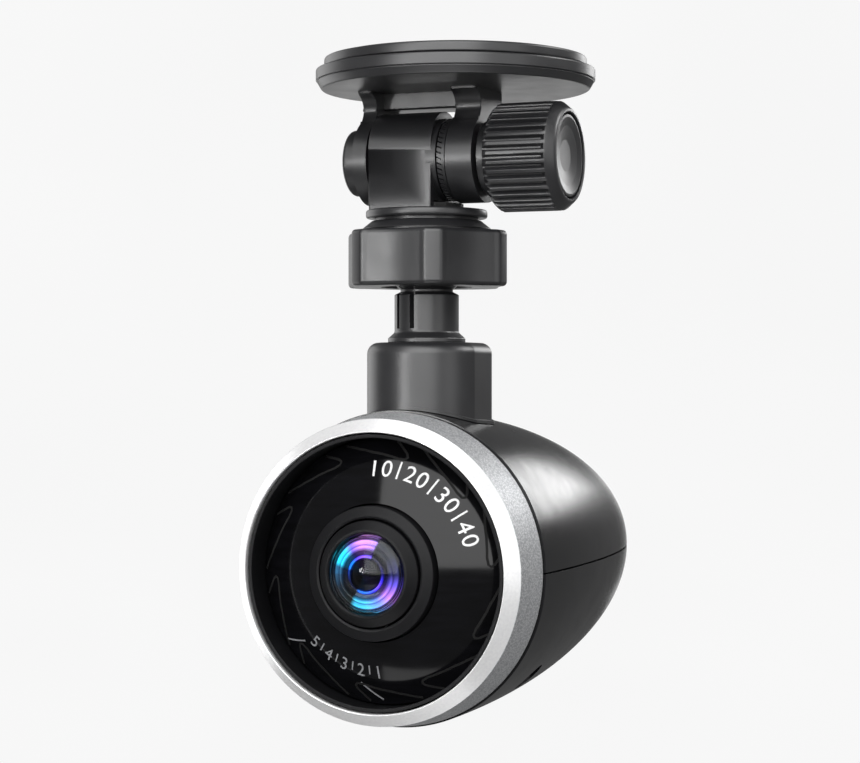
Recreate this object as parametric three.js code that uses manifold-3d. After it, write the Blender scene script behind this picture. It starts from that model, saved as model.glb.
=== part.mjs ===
// A windscreen dash camera: an adhesive disc with a hinge bracket, a tilting arm clamped by a knurled
// knob, a ball joint clamped by a lobed nut, and a bullet-shaped camera hanging below it.
// Millimetres, +Z up. The origin is the middle of the adhesive face, the hinge pin runs along X, and
// the lens looks along -Y. Touching pieces keep a small gap.

import * as THREE from 'three';
import { mergeVertices } from 'three/addons/utils/BufferGeometryUtils.js';
import Module from 'manifold-3d';

const wasm = await Module();
wasm.setup();

// ---- driving dimensions ----

const GAP = 0.3; // between neighbours that touch on the real object
const FINE = 32; // sides of a large visible round
const PLAIN = 20; // sides of a small or hidden round

const DISC_R = 23.3; // bracket base
const PLATE_R = 21.9; // plate under the adhesive pad
const DISC_BOTTOM = -5.4;
const SEAM_Z = -1.95; // between the plate and the bracket base

const STEM_X = -5.2; // the arm, ball and camera hang from this axis, off the disc's middle
const PIN_Z = -17; // hinge pin height
const EAR_R = 7.3;
const LEFT_EAR = [-10.5, -8.0]; // along X from the stem axis
const RIGHT_EAR = [6.2, 10.8];
const PIN_R = 2;

const KNUCKLE_R = 6.8;
const KNUCKLE_Z = PIN_Z + 1.3; // middle of the arm's round top

const KNOB_R = 9;
const KNOB_START = 13;
const KNOB_END = 25.5;
const KNOB_RIDGES = 36;

const FLANGE_R = 10.2;
const FLANGE_TOP = -25.3;
const NUT_TOP = -28.9;
const NUT_BOTTOM = -38.2;
const NUT_R = 14.2; // over its lobes
const NUT_WAIST_R = 12.4; // in its scallops
const NUT_LOBES = 6;
const NUT_MOUTH_R = 7.5;
const BALL_Z = -33.2;
const BALL_R = 7;
const LINER_R = 7.9; // outside of the split liner round the ball
const SEAT_R = LINER_R + GAP;

const NECK_R = 5.4;
const POST_TOP = -47.5;
const POST_R = 10;

const BODY_Z = -84.5; // axis of the camera body
const BODY_R = 25.8;
const BODY_LENGTH = 93; // of the half ellipsoid behind the ring
const RING_FRONT = -23;
const RING_BACK = -13;
const RING_R = 25.5;
const MOUTH_R = 22.4;
const LIP = 2.2; // width and depth of the ring's bright lip
const WALL = 2;
const PLATE_RIM_Y = -17.4; // the domed front plate rises from here
const PLATE_Y = -21.8; // to its inner edge, round the lens

// ---- solids ----

function toSolid(geometry) {
  const bare = geometry.clone();
  bare.deleteAttribute('normal');
  bare.deleteAttribute('uv');
  const merged = mergeVertices(bare, 1e-4);
  const points = merged.attributes.position.array;
  const corners = merged.index.array;
  const kept = [];
  let volume = 0;
  for (let i = 0; i < corners.length; i += 3) {
    const [a, b, c] = corners.slice(i, i + 3);
    if (a === b || b === c || c === a) continue;
    kept.push(a, b, c);
    const [pa, pb, pc] = [a, b, c].map((v) => new THREE.Vector3().fromArray(points, v * 3));
    volume += pa.dot(pb.cross(pc));
  }
  if (volume < 0) kept.reverse();
  return new wasm.Manifold(new wasm.Mesh({
    numProp: 3,
    vertProperties: new Float32Array(points),
    triVerts: new Uint32Array(kept),
  }));
}

function toGeometry(solid) {
  const mesh = solid.getMesh();
  const geometry = new THREE.BufferGeometry();
  geometry.setAttribute('position', new THREE.BufferAttribute(mesh.vertProperties, 3));
  geometry.setIndex(new THREE.BufferAttribute(mesh.triVerts, 1));
  geometry.computeVertexNormals();
  return geometry;
}

const joined = (first, ...rest) => rest.reduce((sum, next) => sum.add(next), first);
const cut = (first, ...rest) => rest.reduce((sum, next) => sum.subtract(next), first);

// A turned piece: the profile's points are [radius, distance along the axis].
function turned(axis, profile, sides = FINE) {
  const outline = profile.map(([r, along]) => new THREE.Vector2(r, along));
  const geometry = new THREE.LatheGeometry(outline, sides);
  if (axis === 'x') geometry.rotateZ(-Math.PI / 2);
  if (axis === 'z') geometry.rotateX(Math.PI / 2);
  return toSolid(geometry);
}

const rod = (axis, r, from, to, sides = PLAIN) =>
  turned(axis, [[0, from], [r, from], [r, to], [0, to]], sides);

const tube = (axis, inner, outer, from, to, sides = PLAIN) =>
  turned(axis, [[inner, from], [outer, from], [outer, to], [inner, to], [inner, from]], sides);

function block([x0, x1], [y0, y1], [z0, z1]) {
  const geometry = new THREE.BoxGeometry(x1 - x0, y1 - y0, z1 - z0);
  geometry.translate((x0 + x1) / 2, (y0 + y1) / 2, (z0 + z1) / 2);
  return toSolid(geometry);
}

// A flat outline pulled straight along X, drawn in the Y-Z plane.
function pulledAlongX(shape, [x0, x1], curveSegments = 8) {
  const geometry = new THREE.ExtrudeGeometry(shape, { depth: x1 - x0, bevelEnabled: false, curveSegments });
  geometry.rotateX(Math.PI / 2);
  geometry.rotateZ(Math.PI / 2);
  geometry.translate(x0, 0, 0);
  return toSolid(geometry);
}

// A flat outline pulled straight along Z, drawn in the X-Y plane.
function pulledAlongZ(shape, [z0, z1], curveSegments = 8) {
  const geometry = new THREE.ExtrudeGeometry(shape, { depth: z1 - z0, bevelEnabled: false, curveSegments });
  geometry.translate(0, 0, z0);
  return toSolid(geometry);
}

const moved = (solid, x, y, z) => solid.translate([x, y, z]);

// Points of an arc in a turned profile, centred on the axis at height along.
function arc(radius, along, fromAngle, toAngle, steps) {
  const points = [];
  for (let i = 0; i <= steps; i += 1) {
    const angle = fromAngle + ((toAngle - fromAngle) * i) / steps;
    points.push([Math.max(0, radius * Math.cos(angle)), along + radius * Math.sin(angle)]);
  }
  return points;
}

const heightOnSphere = (radius, across) => Math.sqrt(radius * radius - across * across);

// ---- materials ----

const finish = (color, roughness, metalness = 0) =>
  new THREE.MeshStandardMaterial({ color, roughness, metalness });

const satinPlastic = () => finish('#3a3a3c', 0.45);
const glossPlastic = () => finish('#0d0d10', 0.12);
const blackPlastic = () => finish('#161618', 0.5);
const silverMetal = () => finish('#c9ccd0', 0.35, 0.9);
const steel = () => finish('#9a9da1', 0.35, 1);
const brass = () => finish('#b08d4a', 0.35, 1);
const rubber = () => finish('#1b1b1c', 0.8);
const circuitBoard = () => finish('#12351f', 0.5);

// ---- scene graph ----

const camera = new THREE.Group();
camera.position.set(STEM_X, 0, BODY_Z);
const hanger = new THREE.Group();
hanger.position.set(STEM_X, 0, 0);
const dashCamera = new THREE.Group();
dashCamera.add(hanger, camera);

function add(parent, name, solid, material) {
  const mesh = new THREE.Mesh(toGeometry(solid), material);
  mesh.name = name;
  parent.add(mesh);
}

// Copies of one piece, each its own mesh: screw_1, screw_2 and so on.
function addEach(parent, name, solids, makeMaterial) {
  solids.forEach((solid, i) => add(parent, `${name}_${i + 1}`, solid, makeMaterial()));
}

// ---- windscreen disc and bracket ----

const SCREW_CIRCLE_R = 12;
const SCREW_ANGLES = [90, 210, 330];
const PAD_T = 0.8;
const PLATE_RECESS = -1.1;
const PLATE_BOSS_R = 16;
const PLATE_BOSS_Z = -3.3;

function onScrewCircle(solid) {
  return SCREW_ANGLES.map((degrees) => {
    const angle = THREE.MathUtils.degToRad(degrees);
    return moved(solid, SCREW_CIRCLE_R * Math.cos(angle), SCREW_CIRCLE_R * Math.sin(angle), 0);
  });
}

function adhesivePad() {
  return rod('z', PLATE_R - 1.1, -PAD_T, 0, FINE);
}

function basePlate() {
  const plate = turned('z', [
    [0, PLATE_BOSS_Z], [PLATE_BOSS_R, PLATE_BOSS_Z], [PLATE_BOSS_R, SEAM_Z + GAP / 2],
    [PLATE_R, SEAM_Z + GAP / 2], [PLATE_R, -0.4], [PLATE_R - 0.2, -0.2], [PLATE_R - 0.8, -0.2],
    [PLATE_R - 0.8, PLATE_RECESS], [0, PLATE_RECESS],
  ]);
  const holes = onScrewCircle(rod('z', 1.6, PLATE_BOSS_Z - 1, 0, 16));
  const counterbores = onScrewCircle(rod('z', 2.7, PLATE_RECESS - 1.3, 0, 16));
  return cut(plate, ...holes, ...counterbores);
}

function baseScrews() {
  return onScrewCircle(joined(
    rod('z', 2.3, PLATE_RECESS - 1, PLATE_RECESS - 0.05, 16),
    rod('z', 1.1, DISC_BOTTOM + 0.7, PLATE_RECESS - 0.9, 16),
  ));
}

function earOutline() {
  const neckFront = -2.4;
  const outline = new THREE.Shape();
  const joinAngle = THREE.MathUtils.degToRad(118);
  outline.absarc(0, PIN_Z, EAR_R, 0, -Math.PI, true);
  outline.absarc(0, PIN_Z, EAR_R, Math.PI, joinAngle, true);
  outline.quadraticCurveTo(neckFront, PIN_Z + EAR_R + 0.4, neckFront, -8);
  outline.quadraticCurveTo(neckFront - 0.3, -6.2, -5, DISC_BOTTOM - 0.2);
  outline.lineTo(-5, DISC_BOTTOM + 1);
  outline.lineTo(EAR_R, DISC_BOTTOM + 1);
  outline.closePath();
  return outline;
}

// The ear outline is drawn with Y across and Z up, so it is pulled along X.
function bracket() {
  const base = turned('z', [
    [0, DISC_BOTTOM], [DISC_R - 0.9, DISC_BOTTOM], [DISC_R, DISC_BOTTOM + 1.45],
    [DISC_R, SEAM_Z - GAP / 2 - 0.2], [DISC_R - 0.2, SEAM_Z - GAP / 2],
    [PLATE_BOSS_R + GAP, SEAM_Z - GAP / 2], [PLATE_BOSS_R + GAP, PLATE_BOSS_Z - GAP],
    [0, PLATE_BOSS_Z - GAP],
  ]);
  const ears = [LEFT_EAR, RIGHT_EAR].map((span) => moved(pulledAlongX(earOutline(), span), STEM_X, 0, 0));
  const web = block([STEM_X - 8.5, STEM_X + 6.5], [0.5, EAR_R - 0.5], [-8.2, DISC_BOTTOM + 0.5]);
  const pinHole = moved(rod('x', PIN_R + GAP, LEFT_EAR[0] - 1, RIGHT_EAR[1] + 1), STEM_X, 0, PIN_Z);
  const screwHoles = onScrewCircle(rod('z', 1.35, DISC_BOTTOM + 0.4, PLATE_BOSS_Z, 16));
  return cut(joined(base, ...ears, web), pinHole, ...screwHoles);
}

const HEAD_R = 5.6;
const HEAD_T = 2.7;

function clampBolt() {
  const headFace = LEFT_EAR[0] - GAP;
  return turned('x', [
    [0, headFace - HEAD_T - 0.3], [HEAD_R * 0.6, headFace - HEAD_T - 0.15],
    [HEAD_R - 0.5, headFace - HEAD_T + 0.2], [HEAD_R, headFace - HEAD_T + 0.8],
    [HEAD_R, headFace], [PIN_R, headFace], [PIN_R, KNOB_END - 4], [0, KNOB_END - 4],
  ]);
}

// ---- clamp knob ----

const INSERT_R = 4;

function knob() {
  const ridgePitch = (2 * Math.PI) / KNOB_RIDGES;
  const valleyR = KNOB_R - 0.8;
  const outline = new THREE.Shape();
  for (let i = 0; i < KNOB_RIDGES; i += 1) {
    [[-0.36, valleyR], [-0.2, KNOB_R], [0.2, KNOB_R], [0.36, valleyR]].forEach(([share, r], corner) => {
      const angle = (i + share) * ridgePitch;
      const point = [r * Math.cos(angle), r * Math.sin(angle)];
      if (i + corner === 0) outline.moveTo(...point);
      else outline.lineTo(...point);
    });
  }
  outline.closePath();
  const ridged = pulledAlongX(outline, [KNOB_START, KNOB_END]);
  const envelope = turned('x', [
    [0, KNOB_START], [valleyR, KNOB_START],
    [KNOB_R + 0.1, KNOB_START + 0.9], [KNOB_R + 0.1, KNOB_END - 0.9], [valleyR, KNOB_END], [0, KNOB_END],
  ]);
  const collar = rod('x', 6.2, RIGHT_EAR[1] + GAP, KNOB_START + 1);
  const capSeat = rod('x', 7.1, KNOB_END - 1.7, KNOB_END + 1);
  const insertSeat = rod('x', INSERT_R + GAP, KNOB_START + 1, KNOB_END);
  const pinHole = rod('x', PIN_R + GAP, KNOB_START - 2, KNOB_END);
  return cut(joined(ridged.intersect(envelope), collar), capSeat, insertSeat, pinHole);
}

function knobInsert() {
  return tube('x', PIN_R + 0.1, INSERT_R, KNOB_START + 1 + GAP, KNOB_END - 3.4, 24);
}

function knobCap() {
  const rim = 6.8;
  const back = KNOB_END - 1.4;
  return turned('x', [
    [0, back], [rim, back], [rim, KNOB_END - 0.3], [rim - 0.5, KNOB_END - 0.2], [rim * 0.6, back + 0.75],
    [0, back + 0.55],
  ]);
}

// ---- tilting arm with the ball socket ----

const SOCKET_R = 10.4;
const BORE_R = 9;
const SEAT_PAD_R = 6.2;
const SEAT_PAD_TOP = -24.3;

function tiltArm() {
  const knuckle = new THREE.Shape();
  knuckle.absarc(0, KNUCKLE_Z, KNUCKLE_R, 0, Math.PI, false);
  knuckle.lineTo(-KNUCKLE_R, FLANGE_TOP - 0.5);
  knuckle.lineTo(KNUCKLE_R, FLANGE_TOP - 0.5);
  knuckle.closePath();
  const flange = turned('z', [
    [0, -27.6], [8.6, -27.6], [8.6, -26.7], [FLANGE_R - 0.3, -26.7], [FLANGE_R, -26.4],
    [FLANGE_R, FLANGE_TOP - 0.3], [FLANGE_R - 0.3, FLANGE_TOP], [0, FLANGE_TOP],
  ]);
  const socket = turned('z', [
    [0, BALL_Z], [SOCKET_R, BALL_Z], [SOCKET_R, -28.6], [11, -28.6], [9.3, -27.2], [0, -27.2],
  ]);
  const boss = moved(rod('x', 6.9, 2.5, RIGHT_EAR[0] - 1.9), 0, 0, PIN_Z);
  const pinHole = moved(rod('x', PIN_R + GAP, -12, 12), 0, 0, PIN_Z);
  const padBoreR = SEAT_PAD_R + GAP;
  const seatEdge = BALL_Z + heightOnSphere(SEAT_R, padBoreR);
  const hollow = turned('z', [
    [0, BALL_Z - 1], [BORE_R, BALL_Z - 1], [BORE_R, BALL_Z + 0.8],
    ...arc(SEAT_R, BALL_Z, 0.1, Math.acos(padBoreR / SEAT_R), 5), [padBoreR, seatEdge],
    [padBoreR, SEAT_PAD_TOP + GAP], [0, SEAT_PAD_TOP + GAP],
  ], PLAIN);
  const solid = joined(pulledAlongX(knuckle, [LEFT_EAR[1] + GAP, 3.5]), flange, socket, boss);
  return cut(solid, pinHole, hollow);
}

function serratedWasher() {
  const body = tube('x', PIN_R + GAP, 6.9, RIGHT_EAR[0] - 1.6, RIGHT_EAR[0] - GAP, FINE);
  return moved(body, 0, 0, PIN_Z);
}

function seatPad() {
  return turned('z', [
    ...arc(SEAT_R, BALL_Z, Math.acos(SEAT_PAD_R / SEAT_R), Math.PI / 2, 5).reverse(),
    [SEAT_PAD_R, SEAT_PAD_TOP], [0, SEAT_PAD_TOP],
  ], PLAIN);
}

// A thin split shell: it stops short of the neck, so the ball can lean inside it.
function ballLiner() {
  const inner = BALL_R + GAP;
  const low = Math.asin(-3.3 / LINER_R);
  const lowInner = Math.asin(-3.3 / inner);
  const high = THREE.MathUtils.degToRad(62);
  const shell = turned('z', [
    ...arc(LINER_R, 0, low, high, 8), ...arc(inner, 0, lowInner, high, 8).reverse(),
    [LINER_R * Math.cos(low), LINER_R * Math.sin(low)],
  ], PLAIN);
  return moved(cut(shell, block([-0.6, 0.6], [0, 10], [-9, 9])), 0, 0, BALL_Z);
}

// ---- lobed lock nut ----

function lobedOutline(waist, tip, steps) {
  const outline = new THREE.Shape();
  const lobePitch = (2 * Math.PI) / NUT_LOBES;
  const flatShare = 0.09;
  for (let i = 0; i < NUT_LOBES; i += 1) {
    for (let k = 0; k <= steps; k += 1) {
      const share = flatShare + ((1 - 2 * flatShare) * k) / steps;
      const scallop = Math.sin((Math.PI * k) / steps) ** 0.8;
      const r = tip - (tip - waist) * scallop;
      const angle = -Math.PI / 2 + THREE.MathUtils.degToRad(27) + (i + share) * lobePitch;
      const point = [r * Math.cos(angle), r * Math.sin(angle)];
      if (i + k === 0) outline.moveTo(...point);
      else outline.lineTo(...point);
    }
  }
  outline.closePath();
  return outline;
}

function lockNut() {
  const lobed = pulledAlongZ(lobedOutline(NUT_WAIST_R, NUT_R, 10), [NUT_BOTTOM, NUT_TOP]);
  const edge = 0.6;
  const envelope = turned('z', [
    [0, NUT_BOTTOM], [NUT_R - edge, NUT_BOTTOM], [NUT_R + 0.1, NUT_BOTTOM + edge],
    [NUT_R + 0.1, NUT_TOP - edge], [NUT_R - edge, NUT_TOP], [0, NUT_TOP],
  ]);
  const seatTop = BALL_Z - 1.5;
  const lipZ = BALL_Z - 4;
  const hollow = turned('z', [
    [0, NUT_BOTTOM - 1], [NUT_MOUTH_R, NUT_BOTTOM - 1], [NUT_MOUTH_R, NUT_BOTTOM],
    ...arc(SEAT_R, BALL_Z, Math.asin((lipZ - BALL_Z) / SEAT_R), Math.asin((seatTop - BALL_Z) / SEAT_R), 4),
    [SOCKET_R + GAP, seatTop], [SOCKET_R + GAP, NUT_TOP + 1], [0, NUT_TOP + 1],
  ], PLAIN);
  return cut(lobed.intersect(envelope), hollow);
}

// ---- ball stem and post, placed from the body's axis ----

const UP = -BODY_Z; // turns a height from the disc into one from the body's axis
const STEM_FOOT = -53;
const SADDLE_GAP = 0.3;

function ballStem() {
  const stem = turned('z', [
    [0, STEM_FOOT], [7.5, STEM_FOOT], [7.5, STEM_FOOT + 2], [NECK_R, STEM_FOOT + 2],
    [NECK_R, BALL_Z - 6.3], [4.4, BALL_Z - 5.8],
    ...arc(BALL_R, BALL_Z, -Math.acos(4.4 / BALL_R), Math.PI / 2, 10),
  ], PLAIN);
  const grooveSpan = [POST_TOP - 0.5, NUT_BOTTOM];
  const grooveX = 1.6; // each side of the rib
  const grooves = [-grooveX, grooveX].map((x) =>
    block([x - 0.35, x + 0.35], [-7, -4.3], grooveSpan).rotate([0, 0, -22]));
  const screwBore = rod('z', 1.6, STEM_FOOT - 1, STEM_FOOT + 9, 16);
  return moved(cut(stem, ...grooves, screwBore), 0, 0, UP);
}

function postOutline() {
  const front = POST_R;
  const side = POST_R - 0.3;
  const rear = 8.5;
  const corner = 4;
  const crease = Math.acos(side / front);
  const outline = new THREE.Shape();
  outline.absarc(0, 0, front, -crease, -Math.PI + crease, true);
  outline.lineTo(-side, rear - corner);
  outline.absarc(-side + corner, rear - corner, corner, Math.PI, Math.PI / 2, true);
  outline.absarc(side - corner, rear - corner, corner, Math.PI / 2, 0, true);
  outline.closePath();
  return outline;
}

// The half ellipsoid from the ring's back to the tail, offset inwards.
function bodyProfile(inset, steps) {
  const points = [];
  for (let i = 0; i <= steps; i += 1) {
    const angle = (Math.PI / 2) * (i / steps);
    const r = (BODY_R - inset) * Math.cos(angle);
    points.push([i === steps ? 0 : r, RING_BACK + 0.3 + (BODY_LENGTH - 0.3 - inset) * Math.sin(angle)]);
  }
  return points;
}

function fullBody(grow) {
  const profile = bodyProfile(-grow, 14);
  return turned('y', [[0, RING_BACK - 12], [BODY_R + grow, RING_BACK - 12], ...profile]);
}

function mountPost() {
  const round = 1.8;
  const low = BODY_R - 7;
  const geometry = new THREE.ExtrudeGeometry(postOutline(), {
    depth: UP + POST_TOP - low - round,
    bevelSize: round,
    bevelThickness: round,
    bevelOffset: -round,
    bevelSegments: 3,
    curveSegments: 10,
  });
  geometry.translate(0, 0, low);
  const tall = toSolid(geometry);
  const room = joined(
    rod('z', 7.5 + GAP, 0, UP + STEM_FOOT + 2 + GAP),
    rod('z', NECK_R + GAP, 0, UP + POST_TOP + 1),
  );
  return cut(tall, fullBody(SADDLE_GAP), room);
}

function stemScrew() {
  const head = UP + STEM_FOOT - GAP;
  return joined(
    rod('z', 2.8, head - 1.8, head - GAP, 20),
    rod('z', 1.3, head - 1.8, head + 7, 20),
  );
}

// ---- camera body ----

const SHELL_SEAM = 0.15; // half the seam between the shells
const CARD_X = 6.5;
const SLOT_Y = 14;

function bodyCup() {
  const outer = bodyProfile(0, 12);
  const inner = bodyProfile(WALL, 9).reverse();
  return turned('y', [...inner, ...outer], FINE);
}

const buttonHole = () => rod('y', 5.1, 60, 90, 28);

function slots() {
  const deep = -BODY_R - 2;
  return [
    block([CARD_X - 6.2, CARD_X + 6.2], [SLOT_Y - 0.8, SLOT_Y + 0.8], [deep, -10]),
    block([-CARD_X - 4.1, -CARD_X + 4.1], [SLOT_Y - 1.9, SLOT_Y + 1.9], [deep, -10]),
  ];
}

// The lower shell's screws go up through its posts into the upper shell's.
const SCREW_SEAT = -8.4;
const SCREW_POSTS = [[-17, 3], [17, 3], [-13, 31], [13, 31]];
const atScrewPosts = (solid) => SCREW_POSTS.map(([x, y]) => moved(solid, x, y, 0));
const screwPosts = (solid) => atScrewPosts(solid).map((post) => post.intersect(fullBody(-WALL / 2)));

function upperShell() {
  const half = block([-40, 40], [-40, 90], [SHELL_SEAM, 40]);
  const posts = screwPosts(rod('z', 2.6, 0, 30, 12));
  const bores = atScrewPosts(rod('z', 0.9 + GAP, -1, 4, 12));
  const stemHole = rod('z', 3.4, 10, 40, 20);
  return cut(joined(bodyCup(), ...posts).intersect(half), ...bores, stemHole, buttonHole());
}

function lowerShell() {
  const half = block([-40, 40], [-40, 90], [-40, -SHELL_SEAM]);
  const posts = screwPosts(rod('z', 3.3, -30, SCREW_SEAT + 2, 12));
  const headBores = atScrewPosts(rod('z', 2.3, -30, SCREW_SEAT, 12));
  const shankBores = atScrewPosts(rod('z', 0.9 + GAP, -12, 4, 12));
  const bores = [...slots(), buttonHole(), ...headBores, ...shankBores];
  return cut(joined(bodyCup(), ...posts).intersect(half), ...bores);
}

function frontRing() {
  return turned('y', [
    [MOUTH_R, RING_FRONT + 0.15], [MOUTH_R + 0.15, RING_FRONT],
    [MOUTH_R + LIP, RING_FRONT + LIP], [RING_R, RING_BACK - 0.4],
    [RING_R - 0.4, RING_BACK], [MOUTH_R, RING_BACK], [MOUTH_R, RING_FRONT + 0.15],
  ]);
}

function innerBezel() {
  const outer = MOUTH_R - GAP;
  return turned('y', [
    [outer, RING_FRONT + 0.6], [outer, RING_BACK + 3], [BEZEL_R, RING_BACK + 3],
    [BEZEL_R, PLATE_RIM_Y - GAP], [outer - 0.6, RING_FRONT + 0.6], [outer, RING_FRONT + 0.6],
  ]);
}

const LENS_RING_R = 10.8;
const BARREL_R = 8.5;
const LENS_R = 6.3;
const BEZEL_R = 21.7;
const PLATE_DOME_R = 42;

// A thin convex ring, part of a sphere, thicker at its rim, round the lens.
function frontPlate() {
  const rimR = BEZEL_R - GAP;
  const holeR = LENS_RING_R + GAP;
  const middle = PLATE_RIM_Y + heightOnSphere(PLATE_DOME_R, rimR);
  const front = [];
  for (let i = 0; i <= 6; i += 1) {
    const r = rimR + ((holeR - rimR) * i) / 6;
    front.push([r, middle - heightOnSphere(PLATE_DOME_R, r)]);
  }
  return turned('y', [
    ...front, [holeR, PLATE_Y + 1.4], [rimR - 4, PLATE_RIM_Y - 0.6], [rimR - 1, PLATE_RIM_Y + 1.6],
    [rimR, PLATE_RIM_Y + 1.6], [rimR, PLATE_RIM_Y],
  ]);
}

function lensRing() {
  const inner = BARREL_R + GAP;
  return turned('y', [
    [inner, PLATE_Y - 2], [LENS_RING_R - 0.5, PLATE_Y - 1.6], [LENS_RING_R, PLATE_Y - 1.1],
    [LENS_RING_R, PLATE_Y + 3], [inner, PLATE_Y + 3], [inner, PLATE_Y - 2],
  ], PLAIN);
}

function lensBarrel() {
  const mouth = LENS_R + 0.2;
  return turned('y', [
    [mouth, PLATE_Y - 3.4], [mouth + 0.3, PLATE_Y - 3.5], [BARREL_R, PLATE_Y - 2.3],
    [BARREL_R, PLATE_Y + 3], [7, PLATE_Y + 3], [7, PLATE_Y + 16], [5.2, PLATE_Y + 16], [5.2, PLATE_Y + 1.6],
    [mouth, PLATE_Y + 1.6], [mouth, PLATE_Y - 3.4],
  ], PLAIN);
}

function frontLens() {
  const domeR = 10.5;
  const centre = PLATE_Y - 3.1 + heightOnSphere(domeR, LENS_R);
  const edge = Math.acos(LENS_R / domeR);
  return turned('y', [
    ...arc(domeR, centre, -Math.PI / 2, -edge, 6), [LENS_R, PLATE_Y + 1.2], [4, PLATE_Y + 1.2],
    [2, PLATE_Y + 0.2], [0, PLATE_Y],
  ], PLAIN);
}

function innerLens() {
  return turned('y', [
    [0, PLATE_Y + 2], [2.5, PLATE_Y + 2.4], [4.9, PLATE_Y + 3.2], [4.9, PLATE_Y + 5], [0, PLATE_Y + 5],
  ], 24);
}

function lensHolder() {
  const seat = tube('y', 7 + GAP, 9.5, PLATE_Y + 3.6, PLATE_Y + 17, 24);
  const foot = cut(
    block([-12, 12], [PLATE_Y + 15, PLATE_Y + 17.5], [-8, 8]),
    rod('y', 7 + GAP, PLATE_Y, PLATE_Y + 22, 24),
  );
  return joined(seat, foot);
}

const SENSOR_BOARD_Y = PLATE_Y + 19.3;
const MAIN_BOARD_Z = -4;

function sensorChip() {
  return block([-4.2, 4.2], [SENSOR_BOARD_Y - 1.2, SENSOR_BOARD_Y - 0.05], [-3.6, 3.6]);
}

function sensorBoard() {
  return block([-13, 13], [SENSOR_BOARD_Y + 0.25, SENSOR_BOARD_Y + 1.45], [-11, 11]);
}

function mainBoard() {
  const outline = new THREE.Shape();
  outline.moveTo(-18, 4);
  outline.lineTo(18, 4);
  outline.lineTo(16.5, 22);
  outline.lineTo(9, 26);
  outline.lineTo(7, 42);
  outline.lineTo(-7, 42);
  outline.lineTo(-9, 26);
  outline.lineTo(-16.5, 22);
  outline.closePath();
  return pulledAlongZ(outline, [MAIN_BOARD_Z - 1.2, MAIN_BOARD_Z]);
}

function processor() {
  return block([-6, 6], [12, 24], [MAIN_BOARD_Z + 0.1, MAIN_BOARD_Z + 1.4]);
}

function heatSpreader() {
  const base = block([-8, 8], [10, 26], [MAIN_BOARD_Z + 1.7, MAIN_BOARD_Z + 3]);
  const fins = [-7, -3.5, 0, 3.5, 7].map((x) =>
    block([x - 0.6, x + 0.6], [10, 26], [MAIN_BOARD_Z + 2.8, MAIN_BOARD_Z + 6.5]));
  return joined(base, ...fins);
}

function supercapacitors() {
  const can = rod('y', 3.6, 8, 26, 20);
  return [-13, 13].map((x) => moved(can, x, 0, 4.2));
}

function speaker() {
  return turned('z', [[0, -21], [6.5, -21], [7.5, -20], [7.5, -17.6], [0, -17.6]], 28)
    .translate([0, 1.5, 0]);
}

function cardSocket() {
  const height = [-17.8, MAIN_BOARD_Z - 1.6];
  const shell = block([CARD_X - 6.4, CARD_X + 6.4], [SLOT_Y - 2.2, SLOT_Y + 2.2], height);
  return cut(shell, block([CARD_X - 5.9, CARD_X + 5.9], [SLOT_Y - 0.75, SLOT_Y + 0.75], [-22, -8]));
}

function memoryCard() {
  return block([CARD_X - 5.5, CARD_X + 5.5], [SLOT_Y - 0.4, SLOT_Y + 0.4], [-21.4, -8.6]);
}

function usbSocket() {
  const x = -CARD_X;
  const shell = block([x - 3.8, x + 3.8], [SLOT_Y - 1.6, SLOT_Y + 1.6], [-21.8, MAIN_BOARD_Z - 1.6]);
  const mouth = block([x - 3.3, x + 3.3], [SLOT_Y - 1.1, SLOT_Y + 1.1], [-25, -17]);
  const tongue = block([x - 2.6, x + 2.6], [SLOT_Y - 0.3, SLOT_Y + 0.3], [-21.2, -16]);
  return joined(cut(shell, mouth), tongue);
}

const BUTTON_R = 4.7;

function buttonCap() {
  const y = RING_BACK + BODY_LENGTH - 1.4;
  return turned('y', [
    [0, y - 7], [2, y - 7], [2, y - 5], [BUTTON_R, y - 5], [BUTTON_R, y - 0.6], [BUTTON_R - 0.8, y + 0.3],
    [0, y + 1],
  ], 28);
}

function buttonSwitch() {
  const y = RING_BACK + BODY_LENGTH - 8.4 - 0.3;
  return joined(
    block([-3, 3], [y - 4, y - 0.6], [-3, 3]),
    rod('y', 1.6, y - 0.8, y - GAP, 16),
  );
}

function caseScrews() {
  return atScrewPosts(joined(
    rod('z', 2, SCREW_SEAT - 1.6, SCREW_SEAT - GAP / 2, 12),
    rod('z', 0.9, SCREW_SEAT - 1, 3, 12),
  ));
}

// ---- assembly ----

add(dashCamera, 'adhesive_pad', adhesivePad(), rubber());
add(dashCamera, 'base_plate', basePlate(), satinPlastic());
addEach(dashCamera, 'base_screw', baseScrews(), steel);
add(dashCamera, 'hinge_bracket', bracket(), satinPlastic());

const pin = new THREE.Group();
pin.position.set(0, 0, PIN_Z);
hanger.add(pin);
add(pin, 'clamp_bolt', clampBolt(), steel());
add(pin, 'clamp_knob', knob(), satinPlastic());
add(pin, 'knob_insert', knobInsert(), brass());
add(pin, 'knob_cap', knobCap(), satinPlastic());

add(hanger, 'tilt_arm', tiltArm(), satinPlastic());
add(hanger, 'serrated_washer', serratedWasher(), satinPlastic());
add(hanger, 'seat_pad', seatPad(), rubber());
add(hanger, 'ball_liner', ballLiner(), blackPlastic());
add(hanger, 'lock_nut', lockNut(), satinPlastic());

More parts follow.
